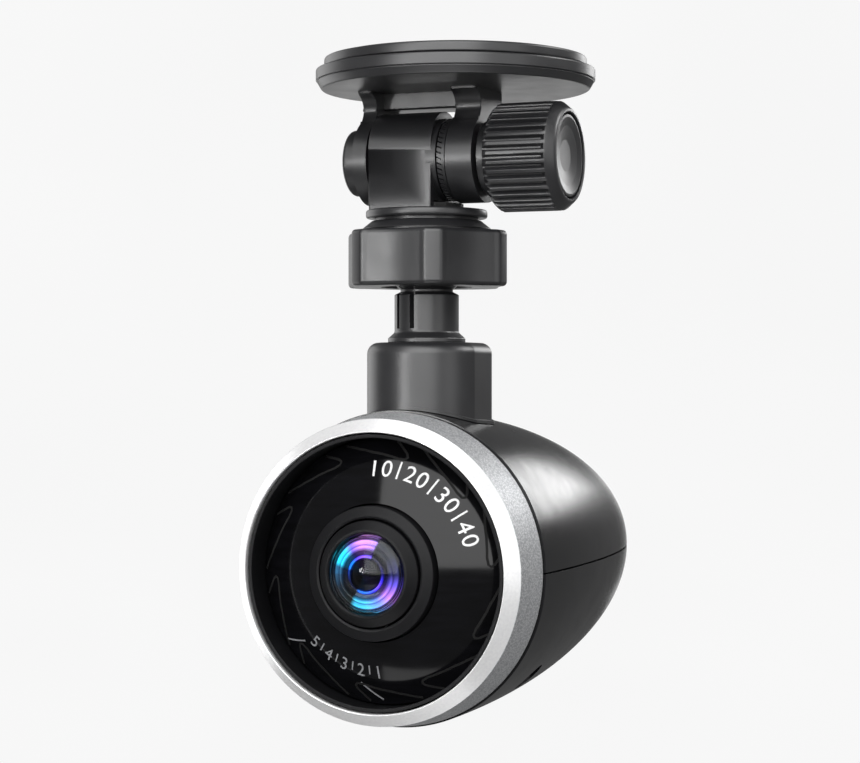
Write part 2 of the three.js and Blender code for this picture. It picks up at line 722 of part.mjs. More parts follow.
add(camera, 'ball_stem', ballStem(), satinPlastic());
add(camera, 'mount_post', mountPost(), satinPlastic());
add(camera, 'stem_screw', stemScrew(), steel());
add(camera, 'upper_shell', upperShell(), glossPlastic());
add(camera, 'lower_shell', lowerShell(), glossPlastic());
add(camera, 'front_ring', frontRing(), silverMetal());
add(camera, 'inner_bezel', innerBezel(), glossPlastic());
add(camera, 'front_plate', frontPlate(), glossPlastic());
add(camera, 'lens_ring', lensRing(), blackPlastic());
add(camera, 'lens_barrel', lensBarrel(), blackPlastic());
add(camera, 'front_lens', frontLens(), finish('#26324a', 0.05));
add(camera, 'inner_lens', innerLens(), finish('#3a3a66', 0.05));
add(camera, 'lens_holder', lensHolder(), blackPlastic());
add(camera, 'image_sensor', sensorChip(), finish('#20242c', 0.3));
add(camera, 'sensor_board', sensorBoard(), circuitBoard());
add(camera, 'main_board', mainBoard(), circuitBoard());
add(camera, 'processor', processor(), blackPlastic());
add(camera, 'heat_spreader', heatSpreader(), silverMetal());
addEach(camera, 'supercapacitor', supercapacitors(), blackPlastic);
add(camera, 'speaker', speaker(), steel());
add(camera, 'card_socket', cardSocket(), steel());
add(camera, 'memory_card', memoryCard(), blackPlastic());
add(camera, 'usb_socket', usbSocket(), steel());
add(camera, 'power_button', buttonCap(), blackPlastic());
add(camera, 'button_switch', buttonSwitch(), blackPlastic());
addEach(camera, 'case_screw', caseScrews(), steel);

export default dashCamera;
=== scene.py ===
# %% [markdown]
# # A windscreen dash camera
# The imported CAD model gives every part's place and size. Each step below replaces one plain CAD part
# with a finished one, in metres, in the same place. Sizes that come from a part are read from its box,
# and sizes that only Blender knows, such as a small edge radius, are named in millimetres.

import math

import bmesh
import bpy
from mathutils import Matrix, Vector


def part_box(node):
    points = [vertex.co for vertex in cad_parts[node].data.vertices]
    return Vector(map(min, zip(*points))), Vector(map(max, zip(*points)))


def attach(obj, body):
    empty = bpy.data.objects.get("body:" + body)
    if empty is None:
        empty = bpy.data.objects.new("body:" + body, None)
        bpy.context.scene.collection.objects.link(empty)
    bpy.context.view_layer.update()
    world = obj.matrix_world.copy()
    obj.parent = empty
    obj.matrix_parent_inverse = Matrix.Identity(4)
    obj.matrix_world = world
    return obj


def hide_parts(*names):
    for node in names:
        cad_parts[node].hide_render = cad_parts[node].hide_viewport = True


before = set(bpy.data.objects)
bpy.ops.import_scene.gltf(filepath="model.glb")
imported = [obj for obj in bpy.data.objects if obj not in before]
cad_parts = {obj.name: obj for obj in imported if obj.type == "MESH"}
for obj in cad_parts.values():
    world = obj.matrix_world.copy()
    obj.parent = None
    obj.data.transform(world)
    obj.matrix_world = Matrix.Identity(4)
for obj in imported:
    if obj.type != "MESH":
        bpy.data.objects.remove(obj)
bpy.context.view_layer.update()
MM = 0.001


def box_mm(node):
    """Lowest and highest corner of a CAD part, in millimetres."""
    low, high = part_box(node)
    return Vector(low) / MM, Vector(high) / MM


# %% Places that the whole build hangs on
disc_low, disc_high = box_mm("hinge_bracket")
plate_low, plate_high = box_mm("base_plate")
pad_low, pad_high = box_mm("adhesive_pad")
stem_low, stem_high = box_mm("ball_stem")
knob_low, knob_high = box_mm("clamp_knob")
nut_low, nut_high = box_mm("lock_nut")
ring_low, ring_high = box_mm("front_ring")
shell_low, shell_high = box_mm("upper_shell")
post_high = box_mm("mount_post")[1]

STEM_X = (stem_low.x + stem_high.x) / 2
PIN_Z = (knob_low.z + knob_high.z) / 2
BODY_Z = (ring_low.z + ring_high.z) / 2
STEM = Vector((STEM_X, 0, 0))
PIN = Vector((0, 0, PIN_Z))
BODY = Vector((STEM_X, 0, BODY_Z))
print("stem axis x %.1f, pin height %.1f, body axis height %.1f" % (STEM_X, PIN_Z, BODY_Z))

# %% [markdown]
# ## Camera
# The camera looks along the line that shows the front and the knob side, level with the middle of the
# object, through a long lens. A long lens keeps the disc and the body at their true proportions.

# %% Camera
IMAGE_WIDTH = 860
FOCAL_PX = 2325
SENSOR_MM = 36
AZIMUTH = math.radians(22.5)
DISTANCE_MM = 390
LOOK_AT_MM = Vector((STEM_X + 0.6, 0, -54.0))

camera_data = bpy.data.cameras.new("studio_camera")
camera_data.sensor_width = SENSOR_MM
camera_data.lens = FOCAL_PX * SENSOR_MM / IMAGE_WIDTH
camera_data.clip_start = 0.01
camera = bpy.data.objects.new("studio_camera", camera_data)
bpy.context.scene.collection.objects.link(camera)
from_object = Vector((math.sin(AZIMUTH), -math.cos(AZIMUTH), 0))
camera.location = (LOOK_AT_MM + from_object * DISTANCE_MM) * MM
camera.rotation_euler = (-from_object).to_track_quat("-Z", "Y").to_euler()
bpy.context.scene.camera = camera
print("lens %.1f mm" % camera_data.lens)

# %% [markdown]
# ## Mesh helpers
# Most pieces of a camera mount are turned or moulded, so three ways of making a mesh cover them: turn a
# profile round an axis, pull an outline straight, and join rows of points into a skin. Corners in a
# profile are rounded first, because a moulded edge is never sharp and the round is what catches light.

# %% Profiles with rounded corners
ROUND_STEPS = 4


def rounded(points, steps=ROUND_STEPS):
    """Corner points (a, b) or (a, b, radius): a corner with a radius becomes an arc."""
    out = []
    count = len(points)
    for i, point in enumerate(points):
        here = Vector(point[:2])
        radius = point[2] if len(point) > 2 else 0
        if radius == 0 or i in (0, count - 1):
            out.append(tuple(here))
            continue
        before = Vector(points[i - 1][:2]) - here
        after = Vector(points[i + 1][:2]) - here
        half = before.angle(after) / 2
        reach = min(radius / math.tan(half), before.length * 0.49, after.length * 0.49)
        start = here + before.normalized() * reach
        end = here + after.normalized() * reach
        for k in range(steps + 1):
            t = k / steps
            out.append(tuple(start.lerp(here, t).lerp(here.lerp(end, t), t)))
    return out


# %% Turning, joining rows, pulling
AXES = {
    "x": Matrix(((0, 0, 1), (0, 1, 0), (-1, 0, 0))),
    "y": Matrix(((1, 0, 0), (0, 0, 1), (0, -1, 0))),
    "z": Matrix.Identity(3),
}


def new_object(name, mesh_data):
    made = bpy.data.objects.new(name, mesh_data)
    bpy.context.scene.collection.objects.link(made)
    return made


def from_bmesh(name, bm, outward=True):
    """Turns a bmesh drawn in millimetres into an object in metres, with its faces outwards."""
    bmesh.ops.remove_doubles(bm, verts=bm.verts, dist=1e-4)
    bmesh.ops.dissolve_degenerate(bm, edges=bm.edges, dist=1e-5)
    if outward:
        bmesh.ops.recalc_face_normals(bm, faces=bm.faces)
    bmesh.ops.scale(bm, vec=(MM, MM, MM), verts=bm.verts)
    mesh_data = bpy.data.meshes.new(name)
    bm.to_mesh(mesh_data)
    bm.free()
    return new_object(name, mesh_data)


def skin(name, rows, close_rows=True, close_columns=False):
    """Joins rows of points, all of one length, into a surface. A row's ends meet if close_rows."""
    bm = bmesh.new()
    grid = [[bm.verts.new(point) for point in row] for row in rows]
    row_count, column_count = len(grid), len(grid[0])
    for i in range(row_count if close_columns else row_count - 1):
        for k in range(column_count if close_rows else column_count - 1):
            a, b = grid[i], grid[(i + 1) % row_count]
            bm.faces.new((a[k], a[(k + 1) % column_count], b[(k + 1) % column_count], b[k]))
    return from_bmesh(name, bm)


def turn(name, axis, centre, profile, sides=128):
    """Turns a profile of (radius, distance along the axis) into a closed piece round centre."""
    closed = Vector(profile[0]) == Vector(profile[-1])
    points = profile[:-1] if closed else profile
    rows = []
    for r, along in points:
        row = []
        for k in range(sides):
            angle = 2 * math.pi * k / sides
            spoke = Vector((r * math.cos(angle), r * math.sin(angle), along))
            row.append(AXES[axis] @ spoke + centre)
        rows.append(row)
    return skin(name, rows, close_columns=closed)


def pull(name, outline, axis, start, end, bevel=0.0, steps=3):
    """Pulls a flat outline along an axis from start to end and rounds the edges of its two faces."""
    bm = bmesh.new()
    place = {"x": lambda a, b, c: (c, a, b), "y": lambda a, b, c: (a, c, b), "z": lambda a, b, c: (a, b, c)}
    low = [bm.verts.new(place[axis](a, b, start)) for a, b in outline]
    high = [bm.verts.new(place[axis](a, b, end)) for a, b in outline]
    count = len(outline)
    faces = [bm.faces.new(low), bm.faces.new(high)]
    for k in range(count):
        bm.faces.new((low[k], low[(k + 1) % count], high[(k + 1) % count], high[k]))
    if bevel:
        edges = list({edge for face in faces for edge in face.edges})
        bmesh.ops.bevel(bm, geom=edges, offset=bevel, segments=steps, profile=0.5, affect="EDGES",
                        clamp_overlap=True)
    return from_bmesh(name, bm)


def block(name, low, high, bevel=0.0):
    """A box between two corners, with rounded edges."""
    bm = bmesh.new()
    bmesh.ops.create_cube(bm, size=1)
    size, middle = Vector(high) - Vector(low), (Vector(high) + Vector(low)) / 2
    bmesh.ops.scale(bm, vec=size, verts=bm.verts)
    bmesh.ops.translate(bm, vec=middle, verts=bm.verts)
    if bevel:
        bmesh.ops.bevel(bm, geom=bm.edges, offset=bevel, segments=3, profile=0.5, affect="EDGES",
                        clamp_overlap=True)
    return from_bmesh(name, bm)


# %% Applying modifiers, and cutting or joining two pieces
def applied(piece):
    """Turns a piece with live modifiers into a plain mesh."""
    evaluated = piece.evaluated_get(bpy.context.evaluated_depsgraph_get())
    mesh_data = bpy.data.meshes.new_from_object(evaluated)
    piece.modifiers.clear()
    piece.data = mesh_data
    return piece


def combine(piece, others, operation):
    """UNION, DIFFERENCE or INTERSECT with each of the others, which are used up."""
    for other in others:
        step = piece.modifiers.new("combine", "BOOLEAN")
        step.operation = operation
        step.solver = "MANIFOLD"
        step.object = other
        applied(piece)
        bpy.data.objects.remove(other)
    return piece


def smooth(piece, sharp_degrees=32):
    """Smooth shading that stays crisp where two faces meet at more than the given angle."""
    piece.data.shade_smooth()
    piece.data.set_sharp_from_angle(angle=math.radians(sharp_degrees))
    piece.modifiers.new("flat_faces_stay_flat", "WEIGHTED_NORMAL").keep_sharp = True
    return applied(piece)


finished = []


def finish(piece, body, material, slot, *nodes):
    """Gives a piece its material and body and hides the CAD parts it stands for. The slot is not used."""
    piece.data.materials.clear()
    piece.data.materials.append(material)
    smooth(piece)
    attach(piece, body)
    if nodes:
        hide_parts(*nodes)
    finished.append(piece)
    print("%s: %d faces" % (piece.name, len(piece.data.polygons)))
    return piece

# %% [markdown]
# ## Nodes
# Materials and Geometry Nodes trees are both made of nodes, so one function adds a node of any kind: it
# takes the node's settings, the values of its sockets and the links that feed it. Colours are written as
# screen colours and turned to linear light by another.

# %% Adding a node
def linear(hex_colour):
    """A screen colour such as #808080 as linear light, with alpha."""
    shares = [int(hex_colour[i:i + 2], 16) / 255 for i in (1, 3, 5)]
    return (*[s / 12.92 if s <= 0.04045 else ((s + 0.055) / 1.055) ** 2.4 for s in shares], 1.0)


def add(tree, kind, links=None, stops=(), **settings):
    """Adds a node. Links feed its inputs, stops are a colour ramp's (position, colour)."""
    node = tree.nodes.new(kind)
    for name, value in settings.items():
        if hasattr(node, name):
            setattr(node, name, value)
        else:
            node.inputs[name.replace("_", " ")].default_value = value
    for name, source in (links or {}).items():
        tree.links.new(source, node.inputs[name])
    if stops:
        elements = node.color_ramp.elements
        elements[0].position, elements[1].position = stops[0][0], stops[-1][0]
        for position, _ in stops[1:-1]:
            elements.new(position)
        for element, (_, colour) in zip(elements, stops):
            element.color = linear(colour)
    return node


# %% [markdown]
# ## Repeats
# A knurled knob, a lobed nut, a ring of petals and a row of teeth are each one small shape repeated round
# an axis. One Geometry Nodes tree does it: the shape becomes an instance, the instance is duplicated, and
# each copy is turned by its own number of steps. Realize Instances turns the copies into real mesh, and
# Merge by Distance welds sectors that share an edge into one closed piece.

# %% The tree that copies a shape round an axis
def copies_tree():
    tree = bpy.data.node_groups.new("copies_round_an_axis", "GeometryNodeTree")
    sockets = {
        "Geometry": "NodeSocketGeometry", "Count": "NodeSocketInt", "Step": "NodeSocketFloat",
        "Axis": "NodeSocketVector", "Centre": "NodeSocketVector", "Weld": "NodeSocketFloat",
        "Material": "NodeSocketMaterial",
    }
    for name, kind in sockets.items():
        tree.interface.new_socket(name, in_out="INPUT", socket_type=kind)
    tree.interface.new_socket("Geometry", in_out="OUTPUT", socket_type="NodeSocketGeometry")
    given = add(tree, "NodeGroupInput").outputs
    one = add(tree, "GeometryNodeGeometryToInstance", {0: given["Geometry"]})
    copies = add(tree, "GeometryNodeDuplicateElements", {
        "Geometry": one.outputs[0], "Amount": given["Count"]}, domain="INSTANCE")
    angle = add(tree, "ShaderNodeMath", {0: copies.outputs["Duplicate Index"], 1: given["Step"]},
                operation="MULTIPLY")
    turned_by = add(tree, "ShaderNodeVectorMath", {0: given["Axis"], "Scale": angle.outputs[0]},
                    operation="SCALE")
    placed = add(tree, "GeometryNodeRotateInstances", {
        "Instances": copies.outputs["Geometry"], "Rotation": turned_by.outputs[0],
        "Pivot Point": given["Centre"]}, Local_Space=False)
    real = add(tree, "GeometryNodeRealizeInstances", {0: placed.outputs[0]})
    welded = add(tree, "GeometryNodeMergeByDistance", {
        "Geometry": real.outputs[0], "Distance": given["Weld"]})
    painted = add(tree, "GeometryNodeSetMaterial", {
        "Geometry": welded.outputs[0], "Material": given["Material"]})
    add(tree, "NodeGroupOutput", {"Geometry": painted.outputs[0]})
    return tree


COPIES = copies_tree()
SOCKET_OF = {item.name: item.identifier for item in COPIES.interface.items_tree if item.in_out == "INPUT"}


def copied_round(piece, count, axis, centre, material, step=None, weld=0.002):
    """Repeats a piece count times round an axis through centre, step radians apart."""
    values = {
        "Count": count, "Step": step or 2 * math.pi / count, "Weld": weld * MM, "Material": material,
        "Axis": {"x": (1.0, 0.0, 0.0), "y": (0.0, 1.0, 0.0), "z": (0.0, 0.0, 1.0)}[axis],
        "Centre": tuple(centre * MM),
    }
    modifier = piece.modifiers.new("copies", "NODES")
    modifier.node_group = COPIES
    for name, value in values.items():
        modifier[SOCKET_OF[name]] = value
    applied(piece)
    bm = bmesh.new()
    bm.from_mesh(piece.data)
    bmesh.ops.remove_doubles(bm, verts=bm.verts, dist=weld * MM)
    bmesh.ops.recalc_face_normals(bm, faces=bm.faces)
    bm.to_mesh(piece.data)
    bm.free()
    return piece


# %% [markdown]
# ## Materials
# Every plastic here is ABS or acrylic with an IOR near 1.5. The eroded mount sends back rather more light
# than smooth plastic does, and the lacquered shell and plate rather less, so each has its own
# specular level as well as its own roughness. Each material starts with the same three nodes.

# %% The start of every material
def begin(name, **shader):
    """A new material: returns it, its tree, its shader's inputs and the object's coordinates."""
    material = bpy.data.materials.new(name)
    material.use_nodes = True
    tree = material.node_tree
    tree.nodes.clear()
    surface = add(tree, "ShaderNodeBsdfPrincipled", **shader)
    add(tree, "ShaderNodeOutputMaterial", {"Surface": surface.outputs[0]})
    place = add(tree, "ShaderNodeTexCoord").outputs["Object"]
    return material, tree, surface.inputs, place


def from_centre(tree, place, centre):
    """Coordinates measured from a point given in millimetres."""
    moved = add(tree, "ShaderNodeMapping", {"Vector": place}, Location=tuple(-centre * MM))
    return add(tree, "ShaderNodeSeparateXYZ", {0: moved.outputs[0]}).outputs


# %% [markdown]
# ### Moulded ABS
# The mount is ABS moulded in a spark-eroded tool. The tool leaves pits of about 0.2 mm, which scatter the
# light into wide soft highlights and make black plastic look dark grey. The camera's shell comes from a
# smoother tool, so its highlights are tighter. Handling polishes patches some 4 mm across.

# %% Moulded plastics
def moulded(name, colour, paler, roughness, pit_mm, pit_depth, shine=0.5):
    material, tree, shader, place = begin(name, IOR=1.52, Specular_IOR_Level=shine)
    link = tree.links.new
    pits = add(tree, "ShaderNodeTexNoise", {"Vector": place}, Scale=1 / (pit_mm * MM), Detail=3.0)
    cloud = add(tree, "ShaderNodeTexNoise", {"Vector": place}, Scale=1 / (9 * MM), Detail=2.0)
    shade = add(tree, "ShaderNodeValToRGB", {0: cloud.outputs["Fac"]}, ((0.35, colour), (0.7, paler)))
    link(shade.outputs["Color"], shader["Base Color"])
    handled = add(tree, "ShaderNodeTexNoise", {"Vector": place}, Scale=1 / (4 * MM), Detail=4.0)
    wear = add(tree, "ShaderNodeMapRange", {0: handled.outputs["Fac"]}, To_Min=roughness - 0.05,
               To_Max=roughness + 0.06)
    link(wear.outputs["Result"], shader["Roughness"])
    bump = add(tree, "ShaderNodeBump", {"Height": pits.outputs["Fac"]}, Strength=pit_depth,
               Distance=0.02 * MM)
    link(bump.outputs["Normal"], shader["Normal"])
    return material


SATIN = moulded("satin_abs_spark_eroded", "#1e1e20", "#262628", 0.36, 0.2, 0.25, shine=0.9)
SHELL = moulded("semi_gloss_abs_shell", "#0b0b0d", "#101013", 0.24, 0.25, 0.1, shine=0.4)
DARK = moulded("black_abs_fine_texture", "#101012", "#151517", 0.46, 0.15, 0.2, shine=0.2)
CHIP = moulded("epoxy_moulded_chip", "#17181b", "#1e1f22", 0.5, 0.1, 0.3)

# %% [markdown]
# ### Acrylic
# The front plate is polished black acrylic. Only faint wipe marks, drawn out sideways, break its mirror.

# %% Polished acrylic
def acrylic(name, colour, paler, roughness):
    material, tree, shader, place = begin(name, IOR=1.49, Specular_IOR_Level=0.35)
    drawn_out = add(tree, "ShaderNodeMapping", {"Vector": place}, Scale=(1.0, 1.0, 6.0))
    smear = add(tree, "ShaderNodeTexNoise", {"Vector": drawn_out.outputs[0]}, Scale=1 / (7 * MM), Detail=5.0)
    gloss = add(tree, "ShaderNodeMapRange", {0: smear.outputs["Fac"]}, To_Min=roughness * 0.6,
                To_Max=roughness * 1.5)
    tint = add(tree, "ShaderNodeValToRGB", {0: smear.outputs["Fac"]}, ((0.3, colour), (0.8, paler)))
    tree.links.new(gloss.outputs["Result"], shader["Roughness"])
    tree.links.new(tint.outputs["Color"], shader["Base Color"])
    return material


GLOSS = acrylic("polished_black_acrylic", "#070708", "#0e0e11", 0.1)

# %% [markdown]
# ### Printed marks
# The scale on the front plate is screen-printed. Ink lies a few hundredths of a millimetre thick and is
# matt, with tiny gaps in its edge.

# %% Printing inks
def ink(name, colour, thin, roughness):
    material, tree, shader, place = begin(name, IOR=1.5)
    cover = add(tree, "ShaderNodeTexNoise", {"Vector": place}, Scale=1 / (0.3 * MM), Detail=2.0)
    shade = add(tree, "ShaderNodeValToRGB", {0: cover.outputs["Fac"]}, ((0.3, thin), (0.5, colour)))
    film = add(tree, "ShaderNodeMapRange", {0: cover.outputs["Fac"]}, To_Min=roughness,
               To_Max=roughness + 0.1)
    tree.links.new(shade.outputs["Color"], shader["Base Color"])
    tree.links.new(film.outputs["Result"], shader["Roughness"])
    return material


WHITE_INK = ink("white_screen_print", "#f4f4f4", "#dcdcdc", 0.5)
GREY_INK = ink("grey_screen_print", "#8c8d90", "#77787b", 0.5)
BLACK_INK = ink("matt_black_print", "#020202", "#040404", 0.75)

# %% [markdown]
# ### Metals
# The front ring is aluminium blasted with fine beads, which leaves sparkling specks, and its lip is then
# cut bright on a lathe, and so is a thin bevel at its back. Both are found by their depth from the ring's
# front. The ring is only partly metallic, and its pale matt share is a painted reflection, largest on the cut
# faces. The other metals are turned, plated or extruded, with fine lines along the way they were worked.

# %% Metals
LIP_MM = 2.2
BACK_BEVEL_MM = 9.6


def ring_metal():
    material, tree, shader, place = begin("blasted_aluminium_bright_cut_lip")
    link = tree.links.new
    depth = from_centre(tree, place, Vector((STEM_X, ring_low.y, BODY_Z)))["Y"]
    past_lip = add(tree, "ShaderNodeMapRange", {0: depth}, From_Min=(LIP_MM - 0.1) * MM, From_Max=LIP_MM * MM)
    past_band = add(tree, "ShaderNodeMapRange", {0: depth}, From_Min=BACK_BEVEL_MM * MM,
                    From_Max=(BACK_BEVEL_MM + 0.05) * MM)
    blasted = add(tree, "ShaderNodeMath", {0: past_lip.outputs[0], 1: past_band.outputs[0]},
                  operation="SUBTRACT")
    beads = add(tree, "ShaderNodeTexVoronoi", {"Vector": place}, Scale=1 / (0.33 * MM))
    satin = add(tree, "ShaderNodeValToRGB", {0: beads.outputs["Distance"]},
                ((0.0, "#f4f4f5"), (0.35, "#d0d1d3"), (0.8, "#b0b2b5")))
    turning = add(tree, "ShaderNodeTexNoise", {"Vector": place}, Scale=1 / (0.5 * MM))
    bright = add(tree, "ShaderNodeValToRGB", {0: turning.outputs["Fac"]},
                 ((0.3, "#f6f6f7"), (0.7, "#ffffff")))
    colour = add(tree, "ShaderNodeMix", {
        "Factor": blasted.outputs[0], 6: bright.outputs[0], 7: satin.outputs[0]}, data_type="RGBA")
    link(colour.outputs[2], shader["Base Color"])
    rough = add(tree, "ShaderNodeMapRange", {0: blasted.outputs[0]}, To_Min=0.3, To_Max=0.45)
    link(rough.outputs[0], shader["Roughness"])
    # Metallic 0.4 on the cut faces and 0.65 on the band: the pale matt rest is a painted reflection.
    metal = add(tree, "ShaderNodeMapRange", {0: blasted.outputs[0]}, To_Min=0.4, To_Max=0.65)
    link(metal.outputs[0], shader["Metallic"])
    dents = add(tree, "ShaderNodeMath", {0: beads.outputs["Distance"], 1: blasted.outputs[0]},
                operation="MULTIPLY")
    bump = add(tree, "ShaderNodeBump", {"Height": dents.outputs[0]}, Strength=0.6, Distance=0.04 * MM)
    link(bump.outputs["Normal"], shader["Normal"])
    return material


def worked_metal(name, colour, darker, roughness, line_mm, drawn):
    """Drawn or turned metal: lines line_mm wide, drawn out along each axis whose number is small."""
    material, tree, shader, place = begin(name, Metallic=1.0)
    along = add(tree, "ShaderNodeMapping", {"Vector": place}, Scale=drawn)
    lines = add(tree, "ShaderNodeTexNoise", {"Vector": along.outputs[0]}, Scale=1 / (line_mm * MM),
                Detail=4.0)
    shade = add(tree, "ShaderNodeValToRGB", {0: lines.outputs["Fac"]}, ((0.3, darker), (0.7, colour)))
    rough = add(tree, "ShaderNodeMapRange", {0: lines.outputs["Fac"]}, To_Min=roughness - 0.06,
                To_Max=roughness + 0.08)
    bump = add(tree, "ShaderNodeBump", {"Height": lines.outputs["Fac"]}, Strength=0.2, Distance=0.01 * MM)
    for output, socket in ((shade.outputs[0], "Base Color"), (rough.outputs[0], "Roughness"),
                           (bump.outputs["Normal"], "Normal")):
        tree.links.new(output, shader[socket])
    return material


RING = ring_metal()
STEEL = worked_metal("zinc_plated_steel", "#c3c6c9", "#9a9da0", 0.3, 0.2, (1.0, 1.0, 0.2))
BRASS = worked_metal("turned_brass", "#d6b36a", "#a98342", 0.28, 0.15, (1.0, 0.2, 0.2))
HEAT_SINK = worked_metal("extruded_aluminium", "#d0d2d4", "#a8abad", 0.38, 0.2, (1.0, 0.1, 1.0))

# %% [markdown]
# ### Foam, rubber and circuit board
# Foam tape is closed-cell acrylic foam, so its face shows fine cells. Silicone rubber is matt. Solder mask
# is a glossy lacquer over copper tracks, which show as paler lines about 4 mm apart.

# %% Soft materials and the boards
def cellular(name, colour, paler, roughness, cell_mm):
    material, tree, shader, place = begin(name, IOR=1.45)
    cells = add(tree, "ShaderNodeTexVoronoi", {"Vector": place}, Scale=1 / (cell_mm * MM))
    shade = add(tree, "ShaderNodeValToRGB", {0: cells.outputs["Distance"]}, ((0.1, colour), (0.8, paler)))
    rough = add(tree, "ShaderNodeMapRange", {0: cells.outputs["Distance"]}, To_Min=roughness,
                To_Max=roughness + 0.1)
    bump = add(tree, "ShaderNodeBump", {"Height": cells.outputs["Distance"]}, Strength=0.6,
               Distance=0.05 * MM)
    for output, socket in ((shade.outputs[0], "Base Color"), (rough.outputs[0], "Roughness"),
                           (bump.outputs["Normal"], "Normal")):
        tree.links.new(output, shader[socket])
    return material


def solder_mask():
    material, tree, shader, place = begin("green_solder_mask", IOR=1.5, Coat_Weight=0.5, Coat_Roughness=0.1)
    tracks = add(tree, "ShaderNodeTexBrick", {"Vector": place}, Scale=1 / (4 * MM), Mortar_Size=0.06,
                 Color1=linear("#0d3b22"), Color2=linear("#0f4527"), Mortar=linear("#1d6b3c"))
    haze = add(tree, "ShaderNodeTexNoise", {"Vector": place}, Scale=1 / (3 * MM))
    rough = add(tree, "ShaderNodeMapRange", {0: haze.outputs["Fac"]}, To_Min=0.25, To_Max=0.4)
    tree.links.new(tracks.outputs["Color"], shader["Base Color"])
    tree.links.new(rough.outputs[0], shader["Roughness"])
    return material


FOAM = cellular("acrylic_foam_tape", "#0c0c0c", "#1d1d1d", 0.75, 0.45)
RUBBER = cellular("silicone_rubber", "#121212", "#1c1c1c", 0.6, 0.3)
BOARD = solder_mask()

# %% [markdown]
# ### Lens glass and its coatings
# A lens is clear glass with a thin coating that cuts reflections. What the coating still reflects is
# coloured from cyan to violet, and it shows where a lamp is mirrored in a curved surface. Here these
# reflections are painted on the rings between the elements, with painted highlights as white bands, and the
# rings glow:
# the colour changes with the angle round the lens axis, and it fades from one ring to the next with the
# distance from the axis.

# %% Glass, and rings with painted reflections
def lens_glass():
    # The coating leaves under 1 % of the reflection, which is what an uncoated IOR of 1.18 sends back.
    material, tree, shader, place = begin("coated_lens_glass", IOR=1.18, Transmission_Weight=1.0)
    dust = add(tree, "ShaderNodeTexNoise", {"Vector": place}, Scale=1 / (1.5 * MM), Detail=4.0)
    shade = add(tree, "ShaderNodeValToRGB", {0: dust.outputs["Fac"]}, ((0.3, "#f4f7ff"), (0.8, "#ffffff")))
    rough = add(tree, "ShaderNodeMapRange", {0: dust.outputs["Fac"]}, To_Min=0.0, To_Max=0.03)
    tree.links.new(shade.outputs[0], shader["Base Color"])
    tree.links.new(rough.outputs[0], shader["Roughness"])
    return material


def painted_reflection_rings(name, angle_stops, radius_stops, glow):
    """Painted reflection colour by share of a turn (0 at -X, on over the bottom) times painted brightness by
    radius in mm; the rings glow.
    """
    # The emission makes the rings glow with their painted reflection colour, though they are no lamp.
    material, tree, shader, place = begin(name, IOR=1.6, Specular_IOR_Level=0.2, Emission_Strength=glow)
    local = from_centre(tree, place, BODY)
    angle = add(tree, "ShaderNodeMath", {0: local["Z"], 1: local["X"]}, operation="ARCTAN2")
    share = add(tree, "ShaderNodeMapRange", {0: angle.outputs[0]}, From_Min=-math.pi, From_Max=math.pi)
    tint = add(tree, "ShaderNodeValToRGB", {0: share.outputs[0]}, angle_stops)
    flat = add(tree, "ShaderNodeCombineXYZ", {"X": local["X"], "Y": local["Z"]})
    radius = add(tree, "ShaderNodeVectorMath", {0: flat.outputs[0]}, operation="LENGTH")
    reach = radius_stops[-1][0]
    across = add(tree, "ShaderNodeMapRange", {0: radius.outputs["Value"]}, From_Max=reach * MM)
    painted_brightness_bands = add(tree, "ShaderNodeValToRGB", {0: across.outputs[0]}, [(r / reach, c) for r, c in radius_stops])
    colour = add(tree, "ShaderNodeMix", {6: tint.outputs[0], 7: painted_brightness_bands.outputs[0]}, data_type="RGBA",
                 blend_type="MULTIPLY", Factor=1.0)
    film = add(tree, "ShaderNodeTexNoise", {"Vector": place}, Scale=1 / (2 * MM))
    rough = add(tree, "ShaderNodeMapRange", {0: film.outputs["Fac"]}, To_Min=0.1, To_Max=0.25)
    for output, socket in ((colour.outputs[2], "Base Color"), (colour.outputs[2], "Emission Color"),
                           (rough.outputs[0], "Roughness")):
        tree.links.new(output, shader[socket])
    return material


GLASS = lens_glass()
# Painted reflections of the lamps in the coating: cyan to violet by angle, white painted highlights by radius,
# glowing at 0.9.
PAINTED_COATING_REFLECTIONS = painted_reflection_rings(
    "violet_to_cyan_painted_reflections",
    ((0.0, "#2b4f6a"), (0.07, "#1a2630"), (0.16, "#1c2420"), (0.185, "#48c8e8"), (0.25, "#5ad2ff"),
     (0.32, "#7fa0ff"), (0.38, "#d08cf8"), (0.45, "#6a5ad8"), (0.5, "#26285a"), (0.6, "#23262e"),
     (0.69, "#24272c"), (0.7, "#b98af2"), (0.78, "#f0a0f8"), (0.84, "#8a70f0"), (0.88, "#38e0f8"),
     (0.945, "#30dcf8"), (0.965, "#2b5f80")),
    ((0.0, "#0c0c14"), (2.4, "#0c0c14"), (2.65, "#2a2a60"), (2.75, "#a8a0ff"), (2.95, "#8078ff"),
     (3.15, "#303048"), (3.75, "#454552"), (4.05, "#9090a0"), (4.45, "#ffffff"), (4.65, "#8c8c98"),
     (4.85, "#d8d8e0"), (5.3, "#ffffff"), (5.5, "#50505c"), (5.8, "#383840"), (5.95, "#ffffff"),
     (6.2, "#e8e8f0")),
    0.9)
print("materials:", len(bpy.data.materials))

# %% [markdown]
# ## Adhesive pad and base plate
# The disc on the windscreen is a moulded plate with a foam pad in its recess. Both are turned from a
# profile, because they are round, and then the screw holes are cut. The screws under the pad keep their
# CAD shape, because nothing shows them.

# %% Small cutters
def rod(name, axis, centre, radius, start, end, sides=48):
    return turn(name, axis, centre, [(0, start), (radius, start), (radius, end), (0, end)], sides)


